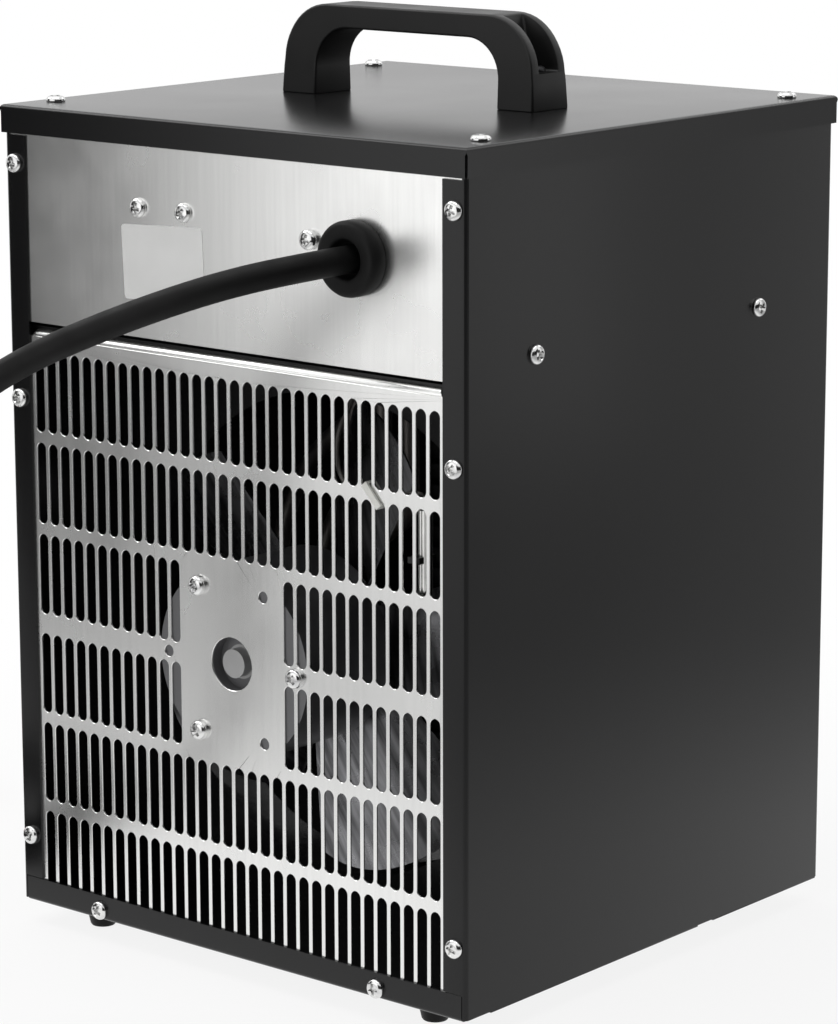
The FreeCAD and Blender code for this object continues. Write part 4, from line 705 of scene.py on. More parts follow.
def points_mesh(places, name=None, values=None, kind="FLOAT"):
    """Loose points, each with one named value for a node tree."""
    mesh = bpy.data.meshes.new("points")
    mesh.from_pydata([tuple(place) for place in places], [], [])
    if name:
        store = mesh.attributes.new(name, kind, "POINT")
        for entry, value in zip(store.data, values):
            if kind == "FLOAT":
                entry.value = value
            else:
                entry.vector = value
    return mesh


# Places shared by several pieces, read from the CAD nodes

BOTH = (1, -1)
CORNERS = ((1, 1), (-1, 1), (-1, -1), (1, -1))


def casing_places():
    """Low and high corners of the casing's main sheets."""
    nodes = {"lid": "top_cover", "side": "side_panel_right", "pan": "base_pan", "grille": "rear_grille"}
    return {word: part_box(node) for word, node in nodes.items()}


def frame_axis_z():
    """Height of the fan's axis, from its joint."""
    return [joint for joint in frame["joints"] if joint["name"] == "fan_spin"][0]["pos_m"][2]


def on_bolt_circle(*degrees):
    """X and Z of places on the circle of the motor's screws."""
    radius = settings("heater_grille").bolt_circle
    turns = [math.radians(turn) for turn in degrees]
    return [(radius * math.cos(turn), frame_axis_z() + radius * math.sin(turn)) for turn in turns]


# Operators, one for each piece or group of like pieces

class HeaterOperator:
    bl_options = {"INTERNAL"}

    def execute(self, context):
        self.build()
        return {"FINISHED"}


class HEATER_OT_finishes(HeaterOperator, bpy.types.Operator):
    """Make the finishes and give every CAD node its own"""
    bl_idname = "heater.finishes"
    bl_label = "Finishes"

    def build(self):
        MATERIALS.update(make_materials())
        for entry in frame["record"]["subparts"]:
            node = frame["nodes"][entry["node"]]
            for slot in node.material_slots:
                slot.material = MATERIALS[entry["material_slot"]]


# Folded black sheets

BEND_STEPS = 5
LIP_STEPS = 6
SHEET_SMOOTH = 50
TONGUES = ((-125.25 * MM, -45.95 * MM), (-34.65 * MM, 109.25 * MM))
TONGUE_ROUND = 0.2 * MM


class HEATER_OT_lid(HeaterOperator, bpy.types.Operator):
    """Fold the lid with a round bend and an open slit at each corner"""
    bl_idname = "heater.lid"
    bl_label = "Lid"

    def build(self):
        casing = settings("heater_casing")
        low, high = casing_places()["lid"]
        bend = casing.lid_bend
        form = bmesh.new()
        rings = []
        for up, out in quarter(LIP_STEPS):
            x = high.x - bend + bend * out
            y = high.y - bend + bend * out
            z = high.z - bend + bend * up
            rings.append([form.verts.new((sx * x, sy * y, z)) for sx, sy in CORNERS])
        form.faces.new(rings[0])
        for inner, outer in zip(rings, rings[1:]):
            bridge(form, outer, inner)
        self.flanges(form, rings[-1], low.z - casing.lid_reach, casing)
        bmesh.ops.recalc_face_normals(form, faces=form.faces)
        mesh = thickened(plain_mesh("lid", form), casing.sheet)
        settle("lid", mesh, "black_paint", replaces=["top_cover"], smooth=SHEET_SMOOTH)

    @staticmethod
    def flanges(form, edge, foot, casing):
        """Four upright flanges whose ends leave a slit at each corner."""
        drop = Vector((0, 0, casing.slit_drop))
        for first, last in zip(edge, edge[1:] + edge[:1]):
            along = (last.co - first.co).normalized() * casing.corner_slit
            ends = (first.co - drop + along, last.co - drop - along)
            upper = [form.verts.new(end) for end in ends]
            lower = [form.verts.new((end.x, end.y, foot)) for end in ends]
            form.faces.new((first, upper[0], upper[1], last))
            form.faces.new((upper[0], lower[0], lower[1], upper[1]))


class HEATER_OT_sides(HeaterOperator, bpy.types.Operator):
    """Fold the two side panels with their front and back flanges"""
    bl_idname = "heater.sides"
    bl_label = "Side panels"

    def build(self):
        casing = settings("heater_casing")
        places = casing_places()
        low, high = places["side"]
        flange_low = places["pan"][1].z + casing.flange_over_pan
        flange_high = places["lid"][0].z - casing.flange_under_lid
        outline = self.outline(high.x, high.y, casing)
        spans = [(low.z, high.z)] * (len(outline) - 1)
        spans[0] = spans[-1] = (flange_low, flange_high)
        for side, word in ((1, "right"), (-1, "left")):
            form = bmesh.new()
            self.folded_strip(form, [(side * px, py) for px, py in outline], spans)
            self.split_wall(form, flange_low, flange_high)
            bmesh.ops.remove_doubles(form, verts=form.verts, dist=1e-6)
            self.face_outward(form, side)
            mesh = thickened(plain_mesh(f"side_{word}", form), casing.sheet)
            settle(f"side_{word}", mesh, "black_paint", replaces=[f"side_panel_{word}"], smooth=SHEET_SMOOTH)

    @staticmethod
    def outline(x, y, casing):
        """Plan of a side panel: back flange, bend, wall, bend and front flange."""
        bend = casing.bend
        corner = [(x - casing.flange, y)]
        corner += [(x - bend + bend * out, y - bend + bend * up) for up, out in quarter(BEND_STEPS)]
        return corner + [(px, -py) for px, py in reversed(corner)]

    @staticmethod
    def folded_strip(form, outline, spans):
        """Upright faces along a plan outline; each stretch has its own low and high edge."""
        for start, end, (low, high) in zip(outline, outline[1:], spans):
            corners = ((*start, low), (*end, low), (*end, high), (*start, high))
            form.faces.new([form.verts.new(corner) for corner in corners])

    @staticmethod
    def split_wall(form, *heights):
        """Give the wall the flanges' corner heights, so that the fold shares its edge."""
        for height in heights:
            geometry = form.verts[:] + form.edges[:] + form.faces[:]
            bmesh.ops.bisect_plane(form, geom=geometry, plane_co=(0, 0, height), plane_no=(0, 0, 1),
                                   dist=1e-7)

    @staticmethod
    def face_outward(form, side):
        """Turn every face away from the inside of the heater."""
        for face in form.faces:
            outward = Vector((side, 0, 0))
            if abs(face.normal.x) <= 0.5:
                outward = Vector((0, face.calc_center_median().y, 0))
            if face.normal.dot(outward) < 0:
                face.normal_flip()


class HEATER_OT_base(HeaterOperator, bpy.types.Operator):
    """Fold the base pan with its front and back flanges and its side tongues"""
    bl_idname = "heater.base"
    bl_label = "Base pan"

    def build(self):
        casing = settings("heater_casing")
        low, high = casing_places()["pan"]
        bend = casing.bend
        edge = high.x - casing.tongue - casing.pan_gap
        half = [(high.y, high.z)]
        half += [(high.y - bend + bend * out, low.z + bend - bend * down)
                 for out, down in quarter(BEND_STEPS)]
        profile = half + [(-py, pz) for py, pz in reversed(half)]
        form = bmesh.new()
        rows = [[form.verts.new((sx * edge, py, pz)) for py, pz in profile] for sx in BOTH]
        bridge(form, rows[0], rows[1], closed=False)
        bmesh.ops.recalc_face_normals(form, faces=form.faces)
        bottom = min(form.faces, key=lambda face: face.calc_center_median().z)
        if bottom.normal.z > 0:
            bmesh.ops.reverse_faces(form, faces=form.faces)
        mesh = thickened(plain_mesh("base", form), casing.sheet)
        form = bmesh.new()
        form.from_mesh(mesh)
        for side in BOTH:
            near, far = sorted((side * edge, side * high.x))
            for start, end in TONGUES:
                box(form, (near, start, low.z), (far, end, low.z + casing.sheet), TONGUE_ROUND)
        finished("base_pan_sheet", form, "black_paint", replaces=["base_pan"], smooth=SHEET_SMOOTH,
                 clean=False)


# Punched grilles

ROW_PAIRS = 3
SLOT_ROUND_SHARE = 0.999
RIM_ANGLE = 60
FLAT_FACE = 0.999
LIP_CUT_SHARE = 0.6
VANE_OVERLAP = 1.0 * MM
VANE_THICK = 0.8 * MM
VANE_ROUND = 0.15 * MM
VANE_SHARE = 0.93
VANE_SLOPE = -38


def lip_fold(form, half, outer_y, top, grille):
    """The inward lip along the top edge of a grille, with a round outer bend and cut corners."""
    bend, sheet = grille.lip_bend, grille.sheet
    outer, inner = [], []
    for out, up in quarter(LIP_STEPS):
        outer.append((outer_y - bend + bend * out, top - bend + bend * up))
        inner.append((outer_y - bend + (bend - sheet) * out, top - bend + (bend - sheet) * up))
    outer.append((outer_y - grille.lip_depth, top))
    inner.append((outer_y - grille.lip_depth, top - sheet))
    ends = ([], [])
    for py, pz in outer + inner[::-1]:
        reach = half
        if pz > top - bend * LIP_CUT_SHARE:
            reach = half - grille.lip_chamfer
        for end, sx in zip(ends, BOTH):
            end.append(form.verts.new((sx * reach, py, pz)))
    bridge(form, *ends)
    form.faces.new(ends[0])
    form.faces.new(ends[1][::-1])


def punched_grille(grille, points, low, high, face_y, slot, material):
    """A punched sheet that faces +Y, with a lip along its top, as a bmesh."""
    top = high.z - grille.lip_bend
    mesh = punched_sheet_tree().apply(points, {
        "Width": 2 * high.x, "Height": top - low.z, "Middle": (0, (top + low.z) / 2, 0),
        "Slot Width": slot[0], "Slot Height": slot[1], "Slot Round": min(slot) / 2 * SLOT_ROUND_SHARE,
        "Sheet": grille.sheet, "Material": MATERIALS[material]})
    mesh.transform(Matrix.Translation((0, face_y, 0)) @ Matrix.Rotation(math.radians(90), 4, "X"))
    form = bmesh.new()
    form.from_mesh(mesh)
    lip_fold(form, high.x - grille.lip_inset, face_y, high.z, grille)
    return form


class HEATER_OT_inlet_grille(HeaterOperator, bpy.types.Operator):
    """Punch the galvanised inlet grille and fold its top lip"""
    bl_idname = "heater.inlet_grille"
    bl_label = "Inlet grille"

    def build(self):
        grille = settings("heater_grille")
        low, high = casing_places()["grille"]
        slots = self.slot_places(grille)
        holes = [(0, frame_axis_z(), 0)] + [(x, z, 0) for x, z in on_bolt_circle(0, 120, 240)]
        radii = [0.0] * len(slots) + [grille.motor_hole] + [grille.bolt_hole] * 3
        points = points_mesh(slots + holes, "hole_radius", radii)
        slot = (grille.slot_width, grille.slot_length)
        form = punched_grille(grille, points, low, high, high.y, slot, "galvanised")
        weld(form)
        mesh = eased(plain_mesh("inlet_grille", form), grille.rim, segments=1, angle=RIM_ANGLE, clamp=False)
        piece = settle("inlet_grille", mesh, "galvanised", replaces=["rear_grille"], smooth=30)
        for face in piece.data.polygons:
            if abs(face.normal.y) > FLAT_FACE:
                face.use_smooth = False

    @staticmethod
    def slot_places(grille):
        """Middles of the slots, in pairs of rows from the axis outward; the motor's plate has none."""
        first = grille.middle_bar / 2 + grille.slot_length / 2
        places = []
        for order in range(ROW_PAIRS):
            for way in BOTH:
                z = frame_axis_z() + way * (first + order * (grille.slot_length + grille.bar))
                for k in range(grille.columns):
                    column = k - (grille.columns - 1) / 2
                    if order > 0 or abs(column) > grille.plate_columns / 2:
                        places.append((column * grille.pitch, z, 0))
        return places


class HEATER_OT_outlet_grille(HeaterOperator, bpy.types.Operator):
    """Punch the black outlet grille on the front"""
    bl_idname = "heater.outlet_grille"
    bl_label = "Outlet grille"

    def build(self):
        grille = settings("heater_grille")
        low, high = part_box("front_grille")
        lowest = casing_places()["pan"][1].z + grille.vent_margin
        highest = high.z - grille.lip_bend - grille.vent_margin
        count = int((highest - lowest - grille.vent_width) / grille.vent_pitch) + 1
        places = []
        for k in range(count):
            z = (lowest + highest) / 2 + (k - (count - 1) / 2) * grille.vent_pitch
            places += [(column * (grille.vent_length + grille.vent_gap), z, 0) for column in (-1, 0, 1)]
        points = points_mesh(places, "hole_radius", [0.0] * len(places))
        slot = (grille.vent_length, grille.vent_width)
        form = punched_grille(grille, points, low, high, -low.y, slot, "black_paint")
        bmesh.ops.transform(form, matrix=Matrix.Rotation(math.pi, 4, "Z"), verts=form.verts)
        finished("outlet_grille", form, "black_paint", replaces=["front_grille"], smooth=40)
        self.louvres([(-x, z) for x, z, flat in places], low.y + grille.sheet, grille)

    @staticmethod
    def louvres(spots, inside, grille):
        """A sloping vane behind every outlet slot, which turns the air down and hides the inside."""
        half = grille.vent_length / 2 + VANE_OVERLAP
        deep = grille.vent_pitch * VANE_SHARE
        vane = box(bmesh.new(), (-half, -VANE_THICK / 2, 0), (half, VANE_THICK / 2, deep), VANE_ROUND, 1)
        bmesh.ops.rotate(vane, verts=vane.verts, matrix=Matrix.Rotation(math.radians(VANE_SLOPE), 3, "X"))
        template = scratch(plain_mesh("vane", vane))
        above = grille.vent_width / 2 + VANE_THICK / 2
        places = facing_back([(x, z + above) for x, z in spots], inside)
        mesh = set_out(fastener_tree(), template, places, "black_paint", seed=1, largest_turn=0.0)
        discard(template)
        settle("outlet_louvres", mesh, "black_paint", smooth=30)


# Screws and washers; insets count from the casing's sides and ends

HEAD_STEPS = 28
HEAD_PROFILE = ((0.96, 0), (1, 0.10), (1, 0.30), (0.965, 0.52), (0.88, 0.72), (0.74, 0.88), (0.55, 0.97),
                (0, 1))
CROSS_TOP = (0.66, 0.19, 0.3 * MM)
CROSS_FLOOR = (0.36, 0.13, -1.7 * MM)
POINT_TAPER = 0.8
POINT_LENGTH = 0.6 * MM
WASHER_OUTER = 4.0 * MM
WASHER_INNER = 2.1 * MM
WASHER_STEPS = 26
WASHER_SPLIT = 14
WASHER_RISE = 0.1
LID_SCREW_INSET = (10 * MM, 21.3 * MM)
SIDE_SCREW_YS = (82.5 * MM, -71.5 * MM)
SIDE_SCREW_Z = 280.2 * MM
FLANGE_SCREWS = ((5.9 * MM, 342 * MM), (5.9 * MM, 239.5 * MM), (5.9 * MM, 41 * MM), (48.1 * MM, 14.6 * MM))
TERMINAL_SCREWS = ((49.65 * MM, 328.7 * MM), (23.55 * MM, 328.7 * MM))
CLAMP_SCREW = (-46.7 * MM, 323.9 * MM)
MOTOR_SCREW_TURNS = (60, 180, 300)


def pan_head_mesh(head, rise, shank=2 * MM, long=7 * MM):
    """A pan-head screw with a cross recess, its underside at height zero."""
    profile = [(0, -long), (shank * POINT_TAPER, -long), (shank, -long + POINT_LENGTH), (shank, 0)]
    profile += [(head / 2 * out, rise * up) for out, up in HEAD_PROFILE]
    form = turned(profile, HEAD_STEPS)
    bmesh.ops.recalc_face_normals(form, faces=form.faces)
    cutter = bmesh.new()
    for turn in (0, math.pi / 2):
        made = bmesh.ops.create_cube(cutter, size=1)
        for vert in made["verts"]:
            long_share, wide_share, height = CROSS_TOP if vert.co.z > 0 else CROSS_FLOOR
            vert.co = (vert.co.x * head * long_share, vert.co.y * head * wide_share, rise + height)
        bmesh.ops.rotate(cutter, verts=made["verts"], matrix=Matrix.Rotation(turn, 3, "Z"))
    return carved(plain_mesh("pan_head", form), plain_mesh("cross", cutter))


def spring_washer_mesh(thick):
    """A split ring whose ends stand a little apart in height."""
    form = bmesh.new()
    gap = math.radians(WASHER_SPLIT)
    flat = thick * (1 - WASHER_RISE)
    section = ((WASHER_INNER, 0), (WASHER_OUTER, 0), (WASHER_OUTER, flat), (WASHER_INNER, flat))
    rings = []
    for k in range(WASHER_STEPS + 1):
        turn = gap / 2 + (2 * math.pi - gap) * k / WASHER_STEPS
        rise = thick * WASHER_RISE * k / WASHER_STEPS
        rings.append([form.verts.new((r * math.cos(turn), r * math.sin(turn), z + rise)) for r, z in section])
    for near, far in zip(rings, rings[1:]):
        bridge(form, near, far)
    form.faces.new(rings[0][::-1])
    form.faces.new(rings[-1])
    bmesh.ops.recalc_face_normals(form, faces=form.faces)
    return plain_mesh("spring_washer", form)


def facing_back(spots, y):
    """Places at one Y, each with the direction out of the heater's back."""
    return [((px, y, pz), (0, 1, 0)) for px, pz in spots]


def set_out(tree, template, spots, slot, seed, largest_turn=2 * math.pi):
    """A template at every spot, facing along the spot's direction, as a plain mesh."""
    places, ways = zip(*spots)
    return tree.apply(points_mesh(places, "facing", ways, "FLOAT_VECTOR"), {
        "Fastener": template, "Seed": seed, "Largest Turn": largest_turn, "Material": MATERIALS[slot]})


class HEATER_OT_fasteners(HeaterOperator, bpy.types.Operator):
    """Set every screw and spring washer where the CAD has one"""
    bl_idname = "heater.fasteners"
    bl_label = "Screws and washers"

    def build(self):
        fasteners = settings("heater_fasteners")
        places = casing_places()
        x, y = places["side"][1].xy
        top = places["lid"][1].z
        back = places["grille"][1].y
        on_washer = back + fasteners.washer
        inset_x, inset_y = LID_SCREW_INSET
        motor = on_bolt_circle(*MOTOR_SCREW_TURNS)
        lid = [((sx * (x - inset_x), sy * (y - inset_y), top), (0, 0, 1)) for sx in BOTH for sy in BOTH]
        wall = [((sx * x, py, SIDE_SCREW_Z), (sx, 0, 0)) for sx in BOTH for py in SIDE_SCREW_YS]
        flange = [((sx * (x - inset), sy * y, pz), (0, sy, 0))
                  for sx in BOTH for sy in BOTH for inset, pz in FLANGE_SCREWS]
        screws = {
            "lid_screws": ("cover_screws", lid),
            "side_panel_screws": ("side_screws", wall),
            "casing_flange_screws": ("flange_screws", flange),
            "terminal_block_screws": ("terminal_screws", facing_back(TERMINAL_SCREWS, back)),
            "cable_clamp_screw": ("clamp_screw", facing_back([CLAMP_SCREW], on_washer)),
            "motor_plate_screws": ("motor_screws", facing_back(motor, on_washer)),
        }
        washers = {"split_washers": ("washers", facing_back(motor + [CLAMP_SCREW], back))}
        tree = fastener_tree()
        for mesh, groups in ((pan_head_mesh(fasteners.head, fasteners.rise), screws),
                             (spring_washer_mesh(fasteners.washer), washers)):
            template = scratch(mesh)
            for name, (node, spots) in groups.items():
                made = set_out(tree, template, spots, "zinc", fasteners.seed)
                settle(name, made, "zinc", replaces=[node], smooth=38)
            discard(template)


# Handle

ARCH_STEPS = 12
ARCH_LEAN = 0.4 * MM
ARCH_STRAIGHT = 4.0 * MM
FOOT_SHARE = 0.7
TOP_WIDTH_SHARE = 0.95
FOOT_GROWTH = 0.11
RECESS_PAST = 6.0 * MM
RECESS_LEAN = 0.24
RECESS_ANGLE = 40
FLAT_AREA = 1e-3
HANDLE_SCREW_SHANK = 2.5 * MM
HANDLE_SCREW_LONG = 24.0 * MM


class HEATER_OT_handle(HeaterOperator, bpy.types.Operator):
    """Mould the carrying handle with its screw recesses"""
    bl_idname = "heater.handle"
    bl_label = "Handle"

    def build(self):
        handle = settings("heater_handle")
        low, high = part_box("handle")
        mesh = carved(self.arch(handle, low, high), self.recesses(handle, low, high))
        mesh = eased(mesh, handle.recess_rim, segments=2, angle=RECESS_ANGLE)
        piece = settle("carrying_handle", mesh, "black_plastic", replaces=["handle"], smooth=38)
        keep_flat(piece.data, FLAT_AREA)
        self.screws(low.z + handle.ledge)

    @staticmethod
    def outline(half, height, handle):
        """Side view of the handle as one closed ring of points."""
        big, small = handle.outer_round, handle.inner_round
        right = [(half, 0.0), (half - ARCH_LEAN, height - big - ARCH_STRAIGHT)]
        right += [(half - 2 * ARCH_LEAN - big + big * out, height - big + big * up)
                  for out, up in quarter(ARCH_STEPS)]
        left = [(-px, pz) for px, pz in reversed(right)]
        inner_x, under = half - handle.leg, height - handle.grip
        inside = [(-inner_x, 0.0)]
        inside += [(-inner_x + small - small * out, under - small + small * up)
                   for out, up in quarter(ARCH_STEPS)]
        inside += [(-px, pz) for px, pz in reversed(inside)]
        return right + left + inside

    def arch(self, handle, low, high):
        """The arch with rounded rims; its legs spread a little toward the lid."""
        outline = self.outline(high.x - handle.shorter, high.z - low.z - handle.lower, handle)
        form = bmesh.new()
        sides = [[form.verts.new((px, way * high.y, low.z + pz)) for px, pz in outline] for way in BOTH]
        form.faces.new(sides[0])
        form.faces.new(sides[1][::-1])
        bridge(form, sides[1], sides[0])
        bmesh.ops.recalc_face_normals(form, faces=form.faces)
        rims = []
        for edge in form.edges:
            first, last = [vert.co for vert in edge.verts]
            if abs(first.y - last.y) < 1e-7 and max(first.z, last.z) > low.z + 1e-5:
                rims.append(edge)
        bmesh.ops.bevel(form, geom=rims, offset=handle.rim, segments=3, profile=0.5, affect="EDGES",
                        clamp_overlap=True)
        wide = handle.leg + handle.flare
        for vert in form.verts:
            foot = max(0.0, 1 - (vert.co.z - low.z) / (FOOT_SHARE * (high.z - low.z)))
            vert.co.y *= TOP_WIDTH_SHARE + FOOT_GROWTH * foot
            reach = (abs(vert.co.x) - high.x + wide) / wide
            if reach > 0:
                vert.co.x += math.copysign(handle.flare * foot * reach, vert.co.x)
        return plain_mesh("handle", form)

    @staticmethod
    def recesses(handle, low, high):
        """What is cut away over the two screws; the inner walls lean inward toward the top."""
        ledge = low.z + handle.ledge
        wide = handle.recess_width / 2
        cutter = bmesh.new()
        for way in BOTH:
            near, far = sorted((way * (high.x - handle.recess), way * (high.x + RECESS_PAST)))
            box(cutter, (near, -wide, ledge), (far, wide, high.z + RECESS_PAST), handle.recess_round, 3)
        for vert in cutter.verts:
            if abs(vert.co.x) < high.x - handle.recess / 2:
                vert.co.x -= math.copysign(RECESS_LEAN * (vert.co.z - ledge), vert.co.x)
        return plain_mesh("recess", cutter)

    @staticmethod
    def screws(ledge):
        """The two screws on the ledges."""
        fasteners = settings("heater_fasteners")
        screw = pan_head_mesh(fasteners.head, fasteners.rise, HANDLE_SCREW_SHANK, HANDLE_SCREW_LONG)
        template = scratch(screw)
        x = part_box("handle_screws")[1].x - fasteners.head / 2
        spots = [((way * x, 0, ledge), (0, 0, 1)) for way in BOTH]
        made = set_out(fastener_tree(), template, spots, "black_screw", fasteners.handle_seed)
        settle("handle_fixing_screws", made, "black_screw", replaces=["handle_screws"], smooth=38)
        discard(template)


# Feet, gland and sticker; profiles are radius and height in millimetres

FOOT_PROFILE = ((0, 0), (4.3, 0), (5.2, 0.25), (5.75, 1.0), (7.6, 9.2), (7.75, 9.7), (7.75, 10), (3, 10),
                (3, 11), (4.5, 11), (4.2, 11.8), (3, 14), (0, 14))
GLAND_PROFILE = ((5.9, -4), (13.2, -4), (13.5, -3.6), (13.5, -1), (11, -1), (11, 0), (15.2, 0), (15.5, 0.4),
                 (15.5, 5.2), (15.3, 6.3), (14.8, 7.2), (14.0, 7.8), (13.0, 8.0), (9.4, 8.0), (8.6, 7.7),
                 (8.1, 7.0), (7.8, 5.4), (7.0, 3.6), (5.9, 3.0), (5.9, -4))
STICKER_WIDE = 46.6 * MM
STICKER_TALL = 31.6 * MM
STICKER_CORNER = 1.6 * MM
STICKER_THICK = 0.15 * MM
STICKER_TILT = 2.6


class HEATER_OT_feet(HeaterOperator, bpy.types.Operator):
    """Turn the four push-in rubber feet"""
    bl_idname = "heater.feet"
    bl_label = "Rubber feet"

    def build(self):
        for word in ("left_front", "left_rear", "right_front", "right_rear"):
            low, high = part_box(f"foot_{word}")
            middle = (low + high) / 2
            place = Matrix.Translation((middle.x, middle.y, 0))
            form = turned(in_metres(FOOT_PROFILE), steps=40, place=place)
            finished(f"rubber_foot_{word}", form, "black_rubber", replaces=[f"foot_{word}"], smooth=40)


class HEATER_OT_gland(HeaterOperator, bpy.types.Operator):
    """Turn the rubber cable gland and lay the blank sticker"""
    bl_idname = "heater.gland"
    bl_label = "Gland and sticker"

    def build(self):
        low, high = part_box("cable_gland")
        middle = (low + high) / 2
        face = casing_places()["grille"][1].y
        place = Matrix.Translation((middle.x, face, middle.z)) @ Matrix.Rotation(-math.pi / 2, 4, "X")
        form = turned(in_metres(GLAND_PROFILE), steps=64, place=place)
        finished("rubber_gland", form, "black_rubber", replaces=["cable_gland"], smooth=40)
        self.sticker()

    @staticmethod
    def sticker():
        """A thin sheet with round corners, laid a little askew."""
        low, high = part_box("rating_label")
        middle = (low + high) / 2
        x, z = STICKER_WIDE / 2, STICKER_TALL / 2
        ring = round_corners(-x, x, -z, z, STICKER_CORNER, steps=4)
        form = bmesh.new()
        faces = [[form.verts.new((px, py, pz)) for px, pz in ring] for py in (0, STICKER_THICK)]
        form.faces.new(faces[0])
        form.faces.new(faces[1][::-1])
        bridge(form, faces[1], faces[0])
        place = Matrix.Translation((middle.x, low.y, middle.z))
        place @= Matrix.Rotation(math.radians(STICKER_TILT), 4, "Y")
        bmesh.ops.transform(form, matrix=place, verts=form.verts)
        finished("blank_sticker", form, "silver_sticker", replaces=["rating_label"], smooth=30)


# Cable, strap and plug; the route and the profiles are in millimetres

LEAD_ROUTE = ((-71.3, 107.95, 318.7), (-71.3, 150.25, 318.7), (-55.0, 186.25, 313.6), (-20.0, 208.25, 299.0),
              (20.0, 224.25, 280.0), (52.0, 233.25, 257.5), (78.0, 241.25, 218.7), (95.0, 248.25, 167.7),
              (108.0, 255.25, 116.2), (128.0, 263.25, 66.2), (162.0, 271.25, 26.2), (202.0, 276.25, 7.2),
              (232.0, 276.25, 7.2))
TAIL_FLAT = 24 * MM
TAIL_RAISED = 56 * MM
PLUG_START = 68 * MM
TAIL_END = 80 * MM
COIL_MARKS = 16
COIL_CLIMB = 0.5
STRAP_CLEAR = 0.7 * MM
STRAP_THICK = 1.2 * MM
STRAP_WIDE = 8.0 * MM
STRAP_INNER_CORNER = 2.2 * MM
STRAP_OUTER_CORNER = 3.2 * MM
NUT_PROFILE = ((5.85, 0), (10.4, 0), (11, 0.6), (16.4, 9), (17, 10.2), (17, 23.4), (16.6, 24), (5.85, 24),
               (5.85, 0))
SHELL_PROFILE = ((0, 24), (15.6, 24), (16.2, 24.6), (20, 31), (24.4, 39), (25, 41), (25, 71), (25.6, 72.4),
                 (30.2, 74.4), (31, 75.6), (31, 83.6), (30.3, 84.8), (27.6, 85.8), (27, 87), (27, 125),
                 (26.4, 126), (24.6, 126), (24, 125.4), (24, 87), (23.2, 86), (0, 86))
NUT_RIB = (1.5, 1.5, 11)
SHELL_RIB = (2.2, 2.2, 24)
KEY_LOW = (-3.2, 26.0, 90)
KEY_HIGH = (3.2, 29.4, 125.6)
KEY_ROUND = 0.8 * MM


